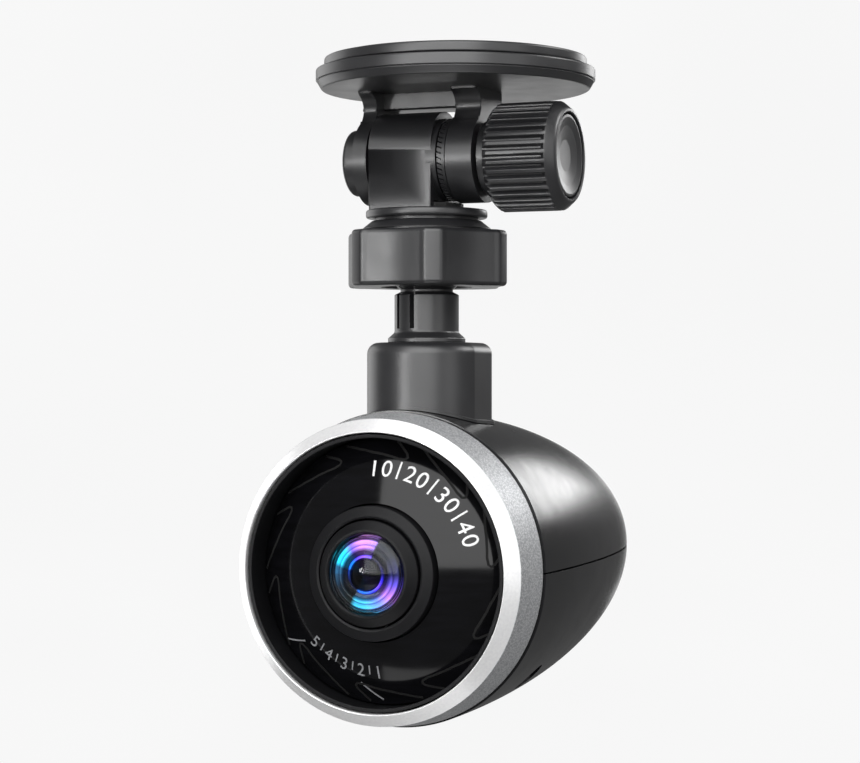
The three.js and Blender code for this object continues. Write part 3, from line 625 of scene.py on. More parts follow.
SCREW_CIRCLE_R = 12
SCREW_ANGLES = [math.radians(degrees) for degrees in (90, 210, 330)]
SCREW_PLACES = [Vector((SCREW_CIRCLE_R * math.cos(a), SCREW_CIRCLE_R * math.sin(a), 0)) for a in SCREW_ANGLES]
ORIGIN = Vector((0, 0, 0))

# %% Pad and plate
pad_r = pad_high.x
pad = turn("foam_pad", "z", ORIGIN, rounded([
    (0, pad_low.z), (pad_r, pad_low.z, 0.15), (pad_r, pad_high.z, 0.15), (0, pad_high.z)]), 160)
finish(pad, "screen_mount", FOAM, "foam_tape", "adhesive_pad")

plate_r = plate_high.x
RECESS_Z = -1.1
SEAM_Z = -1.95
plate = turn("plate", "z", ORIGIN, rounded([
    (0, plate_low.z), (16, plate_low.z), (16, SEAM_Z + 0.1), (plate_r, SEAM_Z + 0.1, 0.3),
    (plate_r, plate_high.z, 0.4), (pad_r + 0.3, plate_high.z, 0.15), (pad_r + 0.3, RECESS_Z),
    (0, RECESS_Z)]), 160)
cutters = []
for i, place in enumerate(SCREW_PLACES):
    cutters.append(rod("hole", "z", place, 1.6, plate_low.z - 1, 1))
    cutters.append(rod("counterbore", "z", place, 2.7, RECESS_Z - 1.3, 1))
combine(plate, cutters, "DIFFERENCE")
finish(plate, "screen_mount", SATIN, "satin_plastic", "base_plate")

# %% [markdown]
# ## Hinge bracket
# The bracket is one moulding: the lower band of the disc, two ears and the web between them. The ears are
# flat outlines pulled along the pin, with rounded edges, and are joined to the turned disc by a boolean.

# %% Bracket
DISC_BOTTOM = -5.4
EAR_R = PIN_Z - disc_low.z
LEFT_EAR = (STEM_X - 10.5, STEM_X - 8.0)
RIGHT_EAR = (STEM_X + 6.2, STEM_X + 10.8)
PIN_R = 2.3


def curve_points(a, b, c, steps=10):
    """A curve from a to c that leans towards b."""
    a, b, c = Vector(a), Vector(b), Vector(c)
    return [tuple(a.lerp(b, k / steps).lerp(b.lerp(c, k / steps), k / steps)) for k in range(steps + 1)]


def arc_points(centre, radius, start, end, steps):
    """Points of an arc between two angles in degrees."""
    angles = [math.radians(start + (end - start) * k / steps) for k in range(steps + 1)]
    return [(centre[0] + radius * math.cos(a), centre[1] + radius * math.sin(a)) for a in angles]


def ear_outline(neck_y):
    """The ear from its round eye up to the disc, as (Y, Z)."""
    eye = arc_points((0, PIN_Z), EAR_R, 0, -242, 60)
    neck = curve_points(eye[-1], (neck_y, PIN_Z + EAR_R + 0.4), (neck_y, -8.4))
    flare = curve_points((neck_y, -8.4), (neck_y - 0.2, -6.4), (-5, -5.7), 8)[1:]
    return eye + neck[1:] + flare + [(-5, DISC_BOTTOM + 1), (EAR_R, DISC_BOTTOM + 1)]


disc_r = disc_high.x
bracket = turn("bracket", "z", ORIGIN, rounded([
    (0, DISC_BOTTOM), (disc_r - 0.95, DISC_BOTTOM, 0.5), (disc_r - 0.25, DISC_BOTTOM + 1.2, 0.2),
    (disc_r - 0.3, DISC_BOTTOM + 1.35), (disc_r, DISC_BOTTOM + 1.45, 0.12),
    (disc_r, disc_high.z, 0.35), (16.3, disc_high.z), (16.3, -3.6), (0, -3.6)]), 160)
ears = [pull("ear", ear_outline(-2.4), "x", *span, bevel=0.35) for span in (LEFT_EAR, RIGHT_EAR)]
web = block("web", (STEM_X - 8.5, 0.5, -8.2), (STEM_X + 6.5, EAR_R - 0.5, DISC_BOTTOM + 0.5), 0.4)
combine(bracket, [*ears, web], "UNION")
combine(bracket, [rod("pin_hole", "x", PIN, PIN_R, -25, 15)], "DIFFERENCE")
finish(bracket, "screen_mount", SATIN, "satin_plastic", "hinge_bracket")

# %% [markdown]
# ## Clamp bolt
# The bolt's head is a moulded cap, slightly domed, pressed on the bolt. A turned profile gives its rim.

# %% Bolt
bolt_low, bolt_high = box_mm("clamp_bolt")
head_r = bolt_high.y
head_face = LEFT_EAR[0] - 0.25
bolt = turn("bolt", "x", PIN, rounded([
    (0, bolt_low.x), (head_r * 0.55, bolt_low.x + 0.12, 0.8), (head_r, bolt_low.x + 0.7, 0.7),
    (head_r, head_face, 0.2), (2, head_face), (2, bolt_high.x, 0.3), (0, bolt_high.x)], 6), 96)
finish(bolt, "screen_mount", SATIN, "bolt_cap", "clamp_bolt")

# %% [markdown]
# ## Clamp knob
# The knob's grip is one ridge repeated 36 times. Only one 10 degree sector is drawn, as a strip that
# follows the knob's whole section, and the Geometry Nodes tree turns it into the full ring. Rows that
# belong to the grip follow the ridge, and rows of the collar, bore and end stay round.

# %% A sector that the tree repeats
def round_axis(axis, centre, radius, angle, along):
    """The point at a radius, an angle and a distance along an axis through centre."""
    return AXES[axis] @ Vector((radius * math.cos(angle), radius * math.sin(angle), along)) + centre


def sector(name, axis, centre, section, angles, close=True):
    """Sweeps a section over a list of angles. A section point is (radius, along, shape), and shape(angle,
    radius) gives the radius at an angle, or is None where the piece is round."""
    rows = []
    for r, along, shape in section:
        row = []
        for angle in angles:
            radius = shape(angle, r) if shape else r
            row.append(round_axis(axis, centre, radius, angle, along))
        rows.append(row)
    return skin(name, rows, close_rows=False, close_columns=close)


# %% Knob
RIDGES = 36
KNOB_R = knob_high.y
VALLEY_R = KNOB_R - 0.8
pitch = 2 * math.pi / RIDGES
half_ridge = ((0.15, 1), (0.2, 0.93), (0.24, 0.75), (0.33, 0.25), (0.37, 0.06), (0.41, 0.0), (0.5, 0))
ridge_shape = (*((-share, height) for share, height in reversed(half_ridge)), (0, 1), *half_ridge)
ridge_height = {round(share * pitch, 9): height for share, height in ridge_shape}


def ridge(angle, limit):
    return min(limit, VALLEY_R + (KNOB_R - VALLEY_R) * ridge_height[round(angle, 9)])


grip_start, grip_end = STEM_X + 13, STEM_X + 25.5
collar_start = knob_low.x
knob_section = [
    (PIN_R, collar_start, None), (6.0, collar_start, None), (6.2, collar_start + 0.2, None),
    (6.2, grip_start, None), (VALLEY_R - 0.2, grip_start, None), (VALLEY_R, grip_start + 0.1, ridge),
    (VALLEY_R + 0.35, grip_start + 0.4, ridge), (KNOB_R, grip_start + 1.0, ridge),
    (KNOB_R, grip_end - 2.3, ridge), (KNOB_R - 0.05, grip_end - 1.55, None),
    (KNOB_R - 0.2, grip_end - 1.3, None), (KNOB_R - 1.0, grip_end - 0.35, None),
    (KNOB_R - 1.25, grip_end - 0.1, None), (KNOB_R - 1.5, grip_end, None), (7.25, grip_end, None),
    (7.1, grip_end - 0.15, None), (7.1, grip_end - 1.7, None), (4.3, grip_end - 1.7, None),
    (4.3, STEM_X + 14, None), (PIN_R, STEM_X + 14, None)]
knob = sector("knob", "x", PIN, knob_section, [share * pitch for share, _ in ridge_shape])
copied_round(knob, RIDGES, "x", PIN, SATIN)
finish(knob, "clamp_knob", SATIN, "satin_plastic", "clamp_knob")

cap_low, cap_high = box_mm("knob_cap")
cap_r = cap_high.y
cap = turn("knob_end_cap", "x", PIN, rounded([
    (0, cap_low.x), (cap_r, cap_low.x), (cap_r, cap_high.x - 0.05, 0.2), (cap_r - 0.5, cap_high.x, 0.5),
    (cap_r - 1.9, cap_low.x + 0.85, 1.0), (2.6, cap_low.x + 0.5, 2.0), (0, cap_low.x + 0.45)], 8), 128)
finish(cap, "clamp_knob", SATIN, "satin_plastic", "knob_cap")

# %% [markdown]
# ## Tilting arm and serrated washer
# The arm is one moulding: a knuckle with a half-round top, a boss beside it, a flange, and the threaded
# socket for the ball. Flat pieces are pulled, round ones turned, and booleans join them. The washer
# between boss and ear has slanted teeth that lock the tilt, so it is a toothed sector repeated 48 times.

# %% Arm
arm_low, arm_high = box_mm("tilt_arm")
BALL_Z = arm_low.z
KNUCKLE_R = 6.8
KNUCKLE_Z = arm_high.z - KNUCKLE_R
FLANGE_TOP, FLANGE_R = -25.3, 10.2
knuckle_outline = arc_points((0, KNUCKLE_Z), KNUCKLE_R, 0, 180, 48)
knuckle_outline += [(-KNUCKLE_R, FLANGE_TOP - 0.5), (KNUCKLE_R, FLANGE_TOP - 0.5)]
arm = pull("arm", knuckle_outline, "x", STEM_X - 7.7, STEM_X + 3.5, bevel=0.3)
flange = turn("flange", "z", STEM, rounded([
    (0, -27.6), (8.6, -27.6), (8.6, -26.7), (FLANGE_R, -26.7, 0.45), (FLANGE_R, FLANGE_TOP, 0.5),
    (0, FLANGE_TOP)]))
socket = turn("socket", "z", STEM, rounded([
    (0, BALL_Z), (10.4, BALL_Z, 0.3), (10.4, -28.6), (11, -28.6, 0.2), (9.2, -27.15, 0.4), (0, -27.15)]))
boss = rod("boss", "x", PIN, 6.9, STEM_X + 2.5, STEM_X + 4.3, 128)
SEAT_R, SEAT_PAD_R = 8.2, 6.5
seat_arc = arc_points((0, BALL_Z), SEAT_R, 5.7, math.degrees(math.acos(SEAT_PAD_R / SEAT_R)), 10)
hollow = turn("hollow", "z", STEM, [
    (0, BALL_Z - 1), (9, BALL_Z - 1), (9, BALL_Z + 0.8), *seat_arc, (SEAT_PAD_R, -24.0), (0, -24.0)], 96)
combine(arm, [flange, socket, boss], "UNION")
combine(arm, [hollow, rod("pin_hole", "x", PIN, PIN_R, -25, 15)], "DIFFERENCE")
finish(arm, "tilt_arm", SATIN, "satin_plastic", "tilt_arm")

# %% Washer
TEETH = 48
washer_low, washer_high = box_mm("serrated_washer")
washer_r = washer_high.y
tooth = 2 * math.pi / TEETH
tooth_shape = ((0, 0), (0.12, 0.5), (0.18, 0.5), (0.3, 0), (0.65, 0), (1, 0))


def slanted_tooth_rows():
    """Rows round the washer's section: the notches in its rim drift round as they cross it."""
    rows = []
    sections = ((PIN_R, washer_low.x, 0), (washer_r, washer_low.x, 1), (washer_r, washer_high.x - 0.5, 1),
                (washer_r, washer_high.x - 0.45, 0), (washer_r, washer_high.x, 0), (PIN_R, washer_high.x, 0))
    for r, along, notched in sections:
        drift = 0.6 * tooth * (along - washer_low.x) / (washer_high.x - washer_low.x)
        row = []
        for share, depth in tooth_shape:
            angle = share * tooth + drift
            radius = r - depth * notched
            row.append(round_axis("x", PIN, radius, angle, along))
        rows.append(row)
    return rows


washer = skin("washer", slanted_tooth_rows(), close_rows=False, close_columns=True)
copied_round(washer, TEETH, "x", PIN, SATIN)
finish(washer, "tilt_arm", SATIN, "satin_plastic", "serrated_washer")

# %% [markdown]
# ## Lock nut
# Six fingers fit between the nut's six ridges. One 60 degree sector holds half a scallop, a ridge and the
# other half. Its edge is rounded by pulling the outline in along a quarter circle at the top and bottom.

# %% Lock nut
nut_r = 14.2
WAIST_R = 12.4
NUT_EDGE = 0.75
RIDGE_SHARE = 0.085
NUT_STEPS = 48
lobe_pitch = math.radians(60)
RIDGE_ANGLE = math.radians(-63)


def lobe(share):
    """Radius over one sector, whose middle is a ridge, with soft corners beside the flat."""
    off = max(0.0, (abs(share - 0.5) - RIDGE_SHARE) / (0.5 - RIDGE_SHARE))
    corner = min(1.0, off / 0.16)
    ease = corner * corner * (3 - 2 * corner)
    scallop = math.sin(math.pi * off / 2) ** 0.85
    return nut_r - (nut_r - WAIST_R) * scallop * (0.55 + 0.45 * ease)


def nut_rows():
    quarter = [math.radians(90 * k / 5) for k in range(6)]
    outside = [(NUT_EDGE * (1 - math.sin(a)), nut_low.z + NUT_EDGE * (1 - math.cos(a))) for a in quarter]
    outside += [(NUT_EDGE * (1 - math.cos(a)), nut_high.z - NUT_EDGE * (1 - math.sin(a))) for a in quarter]
    seat = arc_points((0, BALL_Z), SEAT_R, math.degrees(math.asin(-4 / SEAT_R)),
                      math.degrees(math.asin(-1.5 / SEAT_R)), 5)
    inside = [(10.5, nut_high.z), (10.7, nut_high.z - 0.3), (10.7, BALL_Z - 1.5), *reversed(seat),
              (7.3, BALL_Z - 4.1), (7.5, nut_low.z + 0.3), (7.8, nut_low.z)]
    shares = [k / NUT_STEPS for k in range(NUT_STEPS + 1)]
    start = RIDGE_ANGLE - lobe_pitch / 2
    rows = []
    for inset, z in outside:
        rows.append([(lobe(s) - inset, start + s * lobe_pitch, z) for s in shares])
    for r, z in inside:
        rows.append([(r, start + s * lobe_pitch, z) for s in shares])
    return [[Vector((r * math.cos(a), r * math.sin(a), z)) + STEM for r, a, z in row] for row in rows]


nut = skin("nut", nut_rows(), close_rows=False, close_columns=True)
copied_round(nut, 6, "z", STEM, SATIN)
finish(nut, "lock_nut", SATIN, "satin_plastic", "lock_nut")

# %% [markdown]
# ## Ball stem and post
# The stem is turned: ball, neck and a flare where it enters the post. Two grooves in its front leave a rib
# between them. The post is a D-shaped outline pulled upwards, rounded at the shoulder, and cut by the
# body's surface, with a thin lip where it meets the shell.

# %% Stem
BALL_R, NECK_R = 7, 5.4
post_top = post_high.z
neck_join = math.degrees(math.acos(4.4 / BALL_R))
stem = turn("stem", "z", STEM, [
    (0, stem_low.z), *rounded([(7.5, stem_low.z), (7.5, stem_low.z + 2), (NECK_R, stem_low.z + 2)]),
    *rounded([(NECK_R, post_top - 0.4), (NECK_R + 1.1, post_top + 0.12), (NECK_R + 1.1, post_top + 0.7, 0.3),
              (NECK_R, post_top + 1.7, 0.6), (NECK_R, BALL_Z - 6.3, 0.2), (4.4, BALL_Z - 5.8)]),
    *arc_points((0, BALL_Z), BALL_R, -neck_join, 90, 24)[:-1], (0, BALL_Z + BALL_R)], 112)
grooves = []
for side in (-1.61, 1.61):
    groove = block("groove", (side - 0.4, -7, post_top + 2.3), (side + 0.4, -4.2, nut_low.z + 3), 0.12)
    groove.data.transform(Matrix.Rotation(math.radians(-22), 4, "Z"))
    groove.data.transform(Matrix.Translation(STEM * MM))
    grooves.append(groove)
grooves.append(rod("screw_bore", "z", STEM, 1.6, stem_low.z - 1, stem_low.z + 9))
combine(stem, grooves, "DIFFERENCE")
finish(stem, "camera", SATIN, "satin_plastic", "ball_stem")

# %% The body's outer surface, which the post is cut by
RING_BACK = ring_high.y
BODY_R = (shell_high.x - shell_low.x) / 2
BODY_LENGTH = 93


def body_profile(grow, steps=48, front=0.3):
    """The half ellipsoid behind the ring as (radius, Y), offset outwards by grow."""
    points = []
    for k in range(steps + 1):
        angle = math.pi / 2 * k / steps
        points.append(((BODY_R + grow) * math.cos(angle) if k < steps else 0,
                       RING_BACK + front + (BODY_LENGTH - front + grow) * math.sin(angle)))
    return points


def full_body(grow, sides=160):
    front = RING_BACK - 14
    return turn("body_form", "y", BODY, [(0, front), (BODY_R + grow, front), *body_profile(grow)], sides)


# %% Post
POST_R, POST_SIDE, POST_REAR, REAR_CORNER = 10, 9.7, 8.5, 4


def post_outline(grow=0.0):
    crease = math.degrees(math.acos(POST_SIDE / POST_R))
    front = arc_points((0, 0), POST_R + grow, -crease, -180 + crease, 72)
    left = arc_points((-POST_SIDE + REAR_CORNER, POST_REAR - REAR_CORNER), REAR_CORNER + grow, 180, 90, 14)
    right = arc_points((POST_SIDE - REAR_CORNER, POST_REAR - REAR_CORNER), REAR_CORNER + grow, 90, 0, 14)
    return [(x + STEM_X, y) for x, y in front + left + right]


def round_top(name, outline_of, low_z, top_z, radius, steps=7):
    """A tall piece with a rounded shoulder: its outline shrinks along a quarter circle near the top."""
    rows = [[(x, y, low_z) for x, y in outline_of(0)]]
    for k in range(steps + 1):
        a = math.pi / 2 * k / steps
        inset = -radius * (1 - math.cos(a))
        rows.append([(x, y, top_z - radius + radius * math.sin(a)) for x, y in outline_of(inset)])
    bm = bmesh.new()
    grid = [[bm.verts.new(point) for point in row] for row in rows]
    for lower, upper in zip(grid, grid[1:]):
        for k in range(len(lower)):
            n = (k + 1) % len(lower)
            bm.faces.new((lower[k], lower[n], upper[n], upper[k]))
    bm.faces.new(grid[0])
    bm.faces.new(grid[-1])
    return from_bmesh(name, bm)


post_foot = BODY_Z + BODY_R - 7
post = round_top("post", post_outline, post_foot, post_top, 1.9)
lip = pull("lip", post_outline(0.45), "z", post_foot, BODY_Z + BODY_R + 1.5)
combine(lip, [full_body(0.55)], "INTERSECT")
combine(post, [lip], "UNION")
bore = turn("bore", "z", STEM, [
    (0, post_foot - 5), (7.8, post_foot - 5), (7.8, stem_low.z + 2.3), (5.7, stem_low.z + 2.3),
    (5.7, post_top + 1), (0, post_top + 1)], 96)
combine(post, [full_body(0.12), bore], "DIFFERENCE")
finish(post, "camera", SATIN, "satin_plastic", "mount_post")

# %% [markdown]
# ## Body shells
# The body is half an ellipsoid, split at mid height into two cups. A whole cup is turned, an upper and a
# lower half are cut from it, and the outer edge of the seam is rolled by a bevel. The lower half gets its
# slots, its sunk screw holes and a grille of small holes for the speaker.

# %% A whole cup
WALL = 2


def body_cup():
    outer = body_profile(0)
    inner = [(max(0, r), y) for r, y in body_profile(-WALL, 32)]
    return turn("cup", "y", BODY, [*reversed(inner), *outer], 192)


def roll_seam(piece, seam_z):
    """Bevels the outer edges that lie in the seam's plane."""
    bm = bmesh.new()
    bm.from_mesh(piece.data)
    chosen = {v for v in bm.verts if abs(v.co.z / MM - seam_z) < 1e-3}
    edges = []
    for edge in bm.edges:
        if edge.verts[0] in chosen and edge.verts[1] in chosen and len(edge.link_faces) == 2:
            flat = [abs(face.normal.z) for face in edge.link_faces]
            middle = (edge.verts[0].co + edge.verts[1].co) / 2 / MM
            share = min(1, max(0, (middle.y - RING_BACK) / BODY_LENGTH))
            edge_r = BODY_R * math.sqrt(1 - share * share)
            if max(flat) > 0.9 and abs(abs(middle.x - STEM_X) - edge_r) < 0.35:
                edges.append(edge)
    bmesh.ops.bevel(bm, geom=edges, offset=0.1 * MM, segments=2, profile=0.5, affect="EDGES")
    bm.to_mesh(piece.data)
    bm.free()


CASE_SCREWS = [(-17, 3), (17, 3), (-13, 31), (13, 31)]
SCREW_SEAT = BODY_Z - 8.4
BUTTON_HOLE_R = 5.1


def at_screws(name, radius, start, end):
    return [rod(name, "z", Vector((STEM_X + x, y, 0)), radius, start, end, 32) for x, y in CASE_SCREWS]


def with_posts(cup, radius, start, end):
    posts = at_screws("screw_post", radius, start, end)
    for screw_post in posts:
        combine(screw_post, [full_body(-WALL / 2, 96)], "INTERSECT")
    return combine(cup, posts, "UNION")


# %% Upper shell
upper = with_posts(body_cup(), 2.6, BODY_Z, BODY_Z + 30)
combine(upper, [block("upper_half", (-60, -40, BODY_Z + 0.12), (50, 90, BODY_Z + 40))], "INTERSECT")
button_hole = lambda: rod("button_hole", "y", BODY, BUTTON_HOLE_R, 60, 95, 96)
stem_hole = rod("stem_hole", "z", STEM, 3.4, BODY_Z + 10, BODY_Z + 40)
combine(upper, [*at_screws("bore", 1.2, BODY_Z - 1, BODY_Z + 4), stem_hole, button_hole()], "DIFFERENCE")
roll_seam(upper, BODY_Z + 0.12)
upper.name = "upper_shell_moulding"
finish(upper, "camera", SHELL, "gloss_shell", "upper_shell")

# %% Lower shell
card_low, card_high = box_mm("memory_card")
usb_low, usb_high = box_mm("usb_socket")
lower = with_posts(body_cup(), 3.3, BODY_Z - 30, SCREW_SEAT + 2)
combine(lower, [block("lower_half", (-60, -40, BODY_Z - 40), (50, 90, BODY_Z - 0.12))], "INTERSECT")
slots = [
    block("card_slot", (card_low.x - 0.7, card_low.y - 0.4, BODY_Z - 30),
          (card_high.x + 0.7, card_high.y + 0.4, BODY_Z - 10), 0.35),
    block("usb_slot", (usb_low.x - 0.3, usb_low.y - 0.3, BODY_Z - 30),
          (usb_high.x + 0.3, usb_high.y + 0.3, BODY_Z - 10), 0.9),
]
grille = [rod("grille_hole", "z", Vector((STEM_X, 1.5, 0)), 0.5, BODY_Z - 30, BODY_Z - 22, 16)]
for ring_number in (1, 2):
    for k in range(6 * ring_number):
        a = math.radians(60 / ring_number * k)
        spot = Vector((STEM_X + 2 * ring_number * math.cos(a), 1.5 + 2 * ring_number * math.sin(a), 0))
        grille.append(rod("grille_hole", "z", spot, 0.5, BODY_Z - 30, BODY_Z - 22, 16))
combine(lower, [*slots, *at_screws("sunk_hole", 2.3, BODY_Z - 30, SCREW_SEAT),
                *at_screws("bore", 1.2, BODY_Z - 12, BODY_Z + 4), button_hole(), *grille], "DIFFERENCE")
roll_seam(lower, BODY_Z - 0.12)
lower.name = "lower_shell_moulding"
finish(lower, "camera", SHELL, "gloss_shell", "lower_shell")

# %% [markdown]
# ## Front ring, bezel and plate
# The silver ring, the black wall inside it and the domed plate are all turned. The plate's rim is low and
# it rises towards the lens.

# %% Ring and bezel
MOUTH_R, RING_R = 22.4, (ring_high.x - ring_low.x) / 2
LIP = 2.2
ring = turn("silver_ring", "y", BODY, rounded([
    (MOUTH_R, RING_BACK), (MOUTH_R, ring_low.y + 0.15, 0.1), (MOUTH_R + 0.15, ring_low.y, 0.1),
    (MOUTH_R + LIP, ring_low.y + LIP, 0.12), (RING_R, RING_BACK - 0.4, 0.05), (RING_R - 0.4, RING_BACK, 0.05),
    (MOUTH_R, RING_BACK)], 4), 224)
finish(ring, "camera", RING, "silver_ring", "front_ring")

bezel_low, bezel_high = box_mm("inner_bezel")
bezel_r = (bezel_high.x - bezel_low.x) / 2
BEZEL_R = 21.7
bezel = turn("bezel_wall", "y", BODY, rounded([
    (bezel_r, bezel_low.y), (bezel_r, bezel_high.y), (BEZEL_R, bezel_high.y), (BEZEL_R, -17.7),
    (bezel_r - 0.6, bezel_low.y, 0.15), (bezel_r, bezel_low.y)]), 192)
finish(bezel, "camera", DARK, "black_plastic", "inner_bezel")

# %% Domed plate
plate_front_low, plate_front_high = box_mm("front_plate")
RIM_R, HOLE_R = (plate_front_high.x - plate_front_low.x) / 2, 11.1
PLATE_RIM_Y, PLATE_Y = -17.4, -21.8
PLATE_DOME_R = 42
plate_middle_y = PLATE_RIM_Y + math.sqrt(PLATE_DOME_R ** 2 - RIM_R ** 2)


def plate_height(radius):
    """Y of the plate's front, part of a sphere, at a radius."""
    reach = min(RIM_R, max(HOLE_R, radius))
    return plate_middle_y - math.sqrt(PLATE_DOME_R ** 2 - reach ** 2)


dome = turn("domed_plate", "y", BODY, [
    *((r, plate_height(r)) for r in (RIM_R + (HOLE_R - RIM_R) * k / 24 for k in range(25))),
    (HOLE_R, PLATE_Y + 1.4), (RIM_R - 4, PLATE_RIM_Y - 0.6), (RIM_R - 1, PLATE_RIM_Y + 1.6),
    (RIM_R, PLATE_RIM_Y + 1.6), (RIM_R, PLATE_RIM_Y)], 192)
finish(dome, "camera", GLOSS, "gloss_black", "front_plate")

# %% [markdown]
# ### Marks on the plate
# Ten petal outlines near the rim are printed in matt black, and a plain dial scale of numbers and ticks
# in white and grey. Each mark is a thin strip of ink laid on the dome: a flat drawing in polar
# coordinates, whose every point gets the dome's height. One petal is drawn and the tree repeats it.

# %% Laying flat drawings on the dome
INK_MM = 0.05
turn_clockwise = lambda degrees: math.radians(90 - degrees)


def on_dome(radius, angle, lift):
    return Vector((radius * math.cos(angle), plate_height(radius) - lift, radius * math.sin(angle))) + BODY


def strip(name, path, width):
    """A ribbon of ink along a path of (radius, angle), width across."""
    flat = [Vector((r * math.cos(a), r * math.sin(a))) for r, a in path]
    rows = []
    for k, point in enumerate(flat):
        along = (flat[min(k + 1, len(flat) - 1)] - flat[max(k - 1, 0)]).normalized()
        across = Vector((-along.y, along.x)) * width / 2
        row = []
        for edge, lift in ((point - across, -0.05), (point + across, -0.05), (point + across, INK_MM),
                           (point - across, INK_MM)):
            row.append(on_dome(edge.length, math.atan2(edge.y, edge.x), lift))
        rows.append(row)
    bm = bmesh.new()
    grid = [[bm.verts.new(point) for point in row] for row in rows]
    for a, b in zip(grid, grid[1:]):
        for k in range(4):
            bm.faces.new((a[k], a[(k + 1) % 4], b[(k + 1) % 4], b[k]))
    bm.faces.new(grid[0])
    bm.faces.new(grid[-1])
    return from_bmesh(name, bm)


def merged(name, pieces):
    """One object from several that don't touch."""
    bm = bmesh.new()
    for piece in pieces:
        bm.from_mesh(piece.data)
        bpy.data.objects.remove(piece)
    mesh_data = bpy.data.meshes.new(name)
    bm.to_mesh(mesh_data)
    bm.free()
    return new_object(name, mesh_data)


# %% Petals
PETALS = 10
PETAL_TIP = 14
PETAL_PATH = ((21.1, -19), (20.0, -12), (19.2, -5), (18.7, 3), (18.4, 9), (18.5, 12.5), (18.9, 13.6),
              (19.4, 12.6), (20.2, 9.4), (21.1, 6))
fine_path = []
for (r0, a0), (r1, a1) in zip(PETAL_PATH, PETAL_PATH[1:]):
    fine_path += [(r0 + (r1 - r0) * k / 3, turn_clockwise(PETAL_TIP - 13.6 + a0 + (a1 - a0) * k / 3))
                  for k in range(3)]
fine_path.append((PETAL_PATH[-1][0], turn_clockwise(PETAL_TIP - 13.6 + PETAL_PATH[-1][1])))
petal = strip("petals", fine_path, 0.36)
copied_round(petal, PETALS, "y", BODY, BLACK_INK)
finish(petal, "camera", BLACK_INK, "gloss_black")

# %% Dial scale
def lettered(name, text, size, radius, middle_degrees, upright=True):
    """Numbers bent round an arc and laid on the dome as thin ink."""
    font = bpy.data.curves.new(name, "FONT")
    font.body, font.size, font.align_x = text, size, "CENTER"
    font.extrude = 0.02
    font.space_character = 1.15
    flat = bpy.data.objects.new(name, font)
    bpy.context.scene.collection.objects.link(flat)
    letters = bpy.data.meshes.new_from_object(flat.evaluated_get(bpy.context.evaluated_depsgraph_get()))
    bpy.data.objects.remove(flat)
    bm = bmesh.new()
    bm.from_mesh(letters)
    bmesh.ops.remove_doubles(bm, verts=bm.verts, dist=1e-5)
    bmesh.ops.subdivide_edges(bm, edges=[e for e in bm.edges if e.calc_length() > 0.5], cuts=2)
    for vert in bm.verts:
        lift = INK_MM if vert.co.z > 0 else -0.05
        if upright:
            vert.co = on_dome(radius + vert.co.y, turn_clockwise(middle_degrees) - vert.co.x / radius, lift)
        else:
            vert.co = on_dome(radius - vert.co.y, turn_clockwise(middle_degrees) + vert.co.x / radius, lift)
    return from_bmesh(name, bm)


white_marks = []
for number, degrees in (("10", 1), ("20", 23), ("30", 45), ("40", 67)):
    white_marks.append(lettered("number", number, 3.6, 15.4, degrees))
for degrees in (12, 34, 56):
    white_marks.append(strip("tick", [(15.3 + 0.55 * k, turn_clockwise(degrees)) for k in range(6)], 0.3))
finish(merged("white_scale", white_marks), "camera", WHITE_INK, "gloss_black")

grey_marks = []
for number, degrees in (("1", 180), ("2", 191), ("3", 202), ("4", 213), ("5", 224)):
    grey_marks.append(lettered("number", number, 3.0, 17.0, degrees, upright=False))
for degrees in (185.5, 196.5, 207.5, 218.5):
    grey_marks.append(strip("tick", [(15.0 + 0.3 * k, turn_clockwise(degrees)) for k in range(6)], 0.22))
for degrees, start, end, lean in ((229, 17.6, 20.6, 1.4), (191, 18.2, 20.6, -2.2)):
    path = [(start + (end - start) * k / 5, turn_clockwise(degrees + lean * k)) for k in range(6)]
    grey_marks.append(strip("tick", path, 0.25))
finish(merged("grey_scale", grey_marks), "camera", GREY_INK, "gloss_black")

# %% [markdown]
# ## Lens
# A lens ring and a barrel hold the front lens. Behind its glass a stepped mount holds the next
# element, and its rings carry painted, glowing reflections in the coating's colours.

# %% Lens ring, barrel and glass
LENS_RING_R, LENS_RING_INNER_R, BARREL_R = 10.8, 8.8, 8.5
ring_front = box_mm("lens_ring")[0].y
lens_ring = turn("lens_collar", "y", BODY, rounded([
    (LENS_RING_INNER_R, PLATE_Y + 3), (LENS_RING_INNER_R, ring_front + 0.1, 0.15), (9.2, ring_front, 0.15),
    (LENS_RING_R, ring_front + 0.55, 0.25), (LENS_RING_R, PLATE_Y + 3), (LENS_RING_INNER_R, PLATE_Y + 3)]), 128)
finish(lens_ring, "camera", DARK, "black_plastic", "lens_ring")

barrel_low, barrel_high = box_mm("lens_barrel")
barrel = turn("barrel", "y", BODY, rounded([
    (6.5, PLATE_Y + 1.6), (6.5, barrel_low.y + 0.25, 0.12), (6.75, barrel_low.y, 0.12),
    (7.1, barrel_low.y + 0.05, 0.12), (BARREL_R, PLATE_Y - 2.2, 0.3), (BARREL_R, PLATE_Y + 3),
    (7, PLATE_Y + 3), (7, barrel_high.y), (5.2, barrel_high.y),
    (5.2, PLATE_Y + 1.6), (6.5, PLATE_Y + 1.6)]), 128)
finish(barrel, "camera", DARK, "black_plastic", "lens_barrel")

LENS_R, DOME_R, GLASS_T = 6.3, 10.5, 0.5
dome_centre = PLATE_Y - 3.1 + math.sqrt(DOME_R ** 2 - LENS_R ** 2)


def dome_arc(radius, edge_r, steps):
    """Points of a spherical cap from the axis to edge_r, as (radius, Y)."""
    edge = math.asin(edge_r / radius)
    return [(radius * math.sin(edge * k / steps), dome_centre - radius * math.cos(edge * k / steps))
            for k in range(steps + 1)]


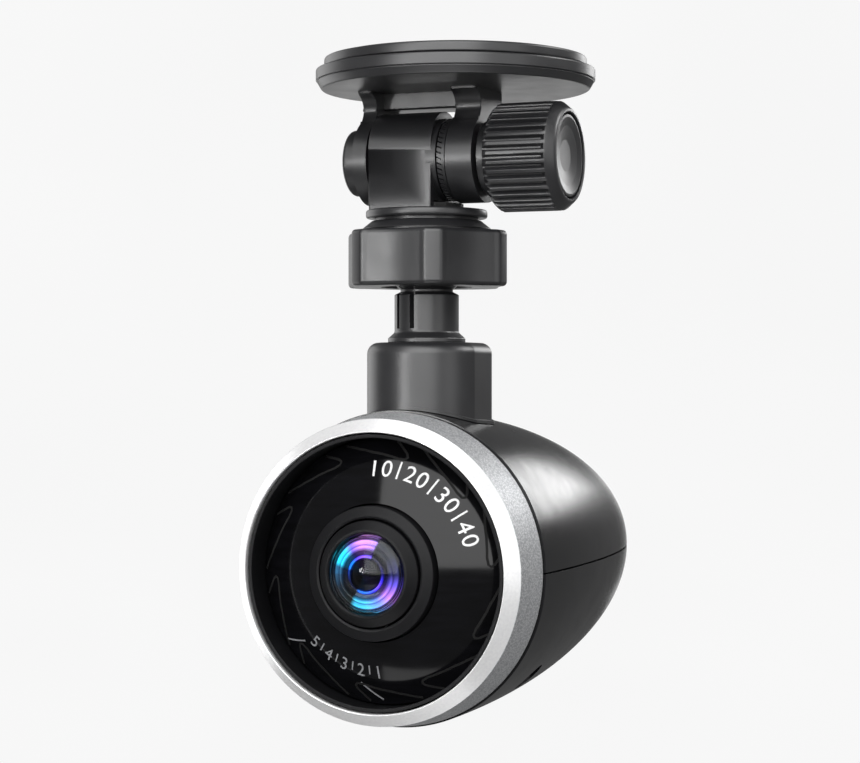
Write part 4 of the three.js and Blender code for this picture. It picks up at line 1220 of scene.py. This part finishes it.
outside = dome_arc(DOME_R, LENS_R, 20)
inside = dome_arc(DOME_R - GLASS_T, LENS_R - 0.35, 20)
lens = turn("front_element", "y", BODY, [
    *outside, (LENS_R, PLATE_Y - 2.2), (LENS_R - 0.35, PLATE_Y - 2.2), *reversed(inside)], 128)
finish(lens, "camera", GLASS, "lens_glass", "front_lens")

# %% Mount behind the glass, with painted reflections
mount_high = box_mm("inner_lens")[1]


def seat_y(radius, sunk):
    """Y of the stepped mount: the inside of the glass, moved back by sunk."""
    return dome_centre - math.sqrt((DOME_R - GLASS_T) ** 2 - radius ** 2) + sunk


MOUNT_STEPS = ((0, 0.7), (1.2, 0.72), (2.2, 0.95), (2.6, 1.35), (2.7, 1.0), (3.0, 0.95), (3.1, 1.15),
               (3.7, 0.9), (3.8, 0.6), (4.35, 0.55), (4.45, 0.45), (4.6, 0.6), (5.3, 0.5), (5.4, 0.35),
               (5.7, 0.35), (5.8, 0.25), (5.87, 0.25))
# Its material paints the coating's reflections and highlights, and glows.
mount = turn("mount_with_painted_reflections", "y", BODY, [
    *((r, seat_y(r, sunk)) for r, sunk in MOUNT_STEPS), (5.87, PLATE_Y + 1.2), (4.8, PLATE_Y + 1.2),
    (4.8, mount_high.y), (0, mount_high.y)], 128)
finish(mount, "camera", PAINTED_COATING_REFLECTIONS, "lens_glass", "inner_lens")

# %% [markdown]
# ## Power button
# The button at the tail is a shallow cap with a finger dish and a thin ring groove.

# %% Button
button_low, button_high = box_mm("power_button")
button_r = (button_high.x - button_low.x) / 2
back_y = button_high.y
button = turn("button_cap", "y", BODY, rounded([
    (0, button_low.y), (2, button_low.y), (2, button_low.y + 2), (button_r, button_low.y + 2),
    (button_r, back_y - 0.5, 0.5), (3.9, back_y - 0.05, 0.3), (3.5, back_y - 0.1), (3.4, back_y - 0.35),
    (3.1, back_y - 0.35), (3.0, back_y - 0.1), (2.4, back_y - 0.2, 1.0), (0, back_y - 0.45)]), 96)
finish(button, "power_button", DARK, "black_plastic", "power_button")

# %% [markdown]
# ## Parts that keep their CAD shape
# Screws, boards, chips and sockets are inside the body, so their CAD shape is enough. They still get real
# materials.

# %% Materials for the inner parts
KEPT = {
    "base_screw_1": STEEL, "base_screw_2": STEEL, "base_screw_3": STEEL, "knob_insert": BRASS,
    "seat_pad": RUBBER, "ball_liner": DARK, "stem_screw": STEEL, "lens_holder": DARK, "image_sensor": CHIP,
    "sensor_board": BOARD, "main_board": BOARD, "processor": CHIP, "heat_spreader": HEAT_SINK,
    "supercapacitor_1": CHIP, "supercapacitor_2": CHIP, "speaker": STEEL, "card_socket": STEEL,
    "memory_card": DARK, "usb_socket": STEEL, "button_switch": DARK, "case_screw_1": STEEL,
    "case_screw_2": STEEL, "case_screw_3": STEEL, "case_screw_4": STEEL,
}
for node, material in KEPT.items():
    kept_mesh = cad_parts[node].data
    kept_mesh.materials.clear()
    kept_mesh.materials.append(material)
print("kept parts:", len(KEPT))

# %% [markdown]
# ## Studio
# The object hangs in an empty pale studio. The room is a smooth bowl that only the camera sees, so it
# doesn't wash out the black plastics, and the light comes from a few soft boxes.

# %% Floor and backdrop
def paper():
    material = bpy.data.materials.new("pale_studio_paper")
    material.use_nodes = True
    tree = material.node_tree
    tree.nodes.clear()
    place = add(tree, "ShaderNodeTexCoord").outputs["Object"]
    fibre = add(tree, "ShaderNodeTexNoise", {"Vector": place}, Scale=2.0)
    tone = add(tree, "ShaderNodeValToRGB", {0: fibre.outputs["Fac"]}, ((0.3, "#f6f6f6"), (0.7, "#f8f8f8")))
    glow = add(tree, "ShaderNodeEmission", {"Color": tone.outputs[0]}, Strength=1.0)
    add(tree, "ShaderNodeOutputMaterial", {"Surface": glow.outputs[0]})
    return material


FLOOR_Z = -450
bowl = turn("studio_paper", "z", ORIGIN, [
    (0, FLOOR_Z), (1500, FLOOR_Z), (2200, FLOOR_Z + 250), (2600, FLOOR_Z + 900), (2600, 1500),
    (1500, 2600), (0, 2900)], 64)
bowl.data.materials.append(paper())
for ray in ("visible_diffuse", "visible_glossy", "visible_transmission", "visible_shadow"):
    setattr(bowl, ray, False)

# %% Light
def soft_box(name, azimuth, elevation, distance_mm, width_mm, height_mm, brightness):
    """A soft box that faces the object. Brightness is its radiance, 1 being as bright as white paper."""
    light = bpy.data.lights.new(name, "AREA")
    light.shape, light.size, light.size_y = "RECTANGLE", width_mm * MM, height_mm * MM
    light.energy = brightness * math.pi * light.size * light.size_y
    lamp = bpy.data.objects.new(name, light)
    bpy.context.scene.collection.objects.link(lamp)
    a, e = math.radians(azimuth), math.radians(elevation)
    away = Vector((math.sin(a) * math.cos(e), -math.cos(a) * math.cos(e), math.sin(e)))
    lamp.location = (LOOK_AT_MM + away * distance_mm) * MM
    lamp.rotation_euler = away.to_track_quat("Z", "Y").to_euler()
    lamp.visible_camera = False
    return lamp


world = bpy.data.worlds.new("studio_air")
world.use_nodes = True
world.node_tree.nodes["Background"].inputs["Color"].default_value = linear("#ffffff")
world.node_tree.nodes["Background"].inputs["Strength"].default_value = 0.16
bpy.context.scene.world = world
bpy.context.scene.view_settings.view_transform = "Standard"

for box in (
    ("front_box", 12, 26, 900, 1100, 1000, 3.0),
    ("catch_light", -22, 2, 700, 70, 90, 40.0),
    ("left_card", -113, 0, 900, 700, 900, 1.4),
    ("right_card", 68, 10, 900, 450, 700, 1.0),
    ("top_card", 0, 72, 900, 700, 700, 1.5),
    ("floor_card", 0, -68, 900, 700, 600, 1.3),
    ("back_card", 202, -4, 1000, 500, 240, 1.2),
    ("side_light", 168, 14, 900, 300, 200, 5.0),
    ("ring_light", 120, 34, 900, 420, 300, 7.0),
):
    soft_box(*box)

# %% [markdown]
# ## Close
# The number of finished pieces is printed.

# %% Count of finished pieces
bpy.context.view_layer.update()
print("pieces:", len(finished))
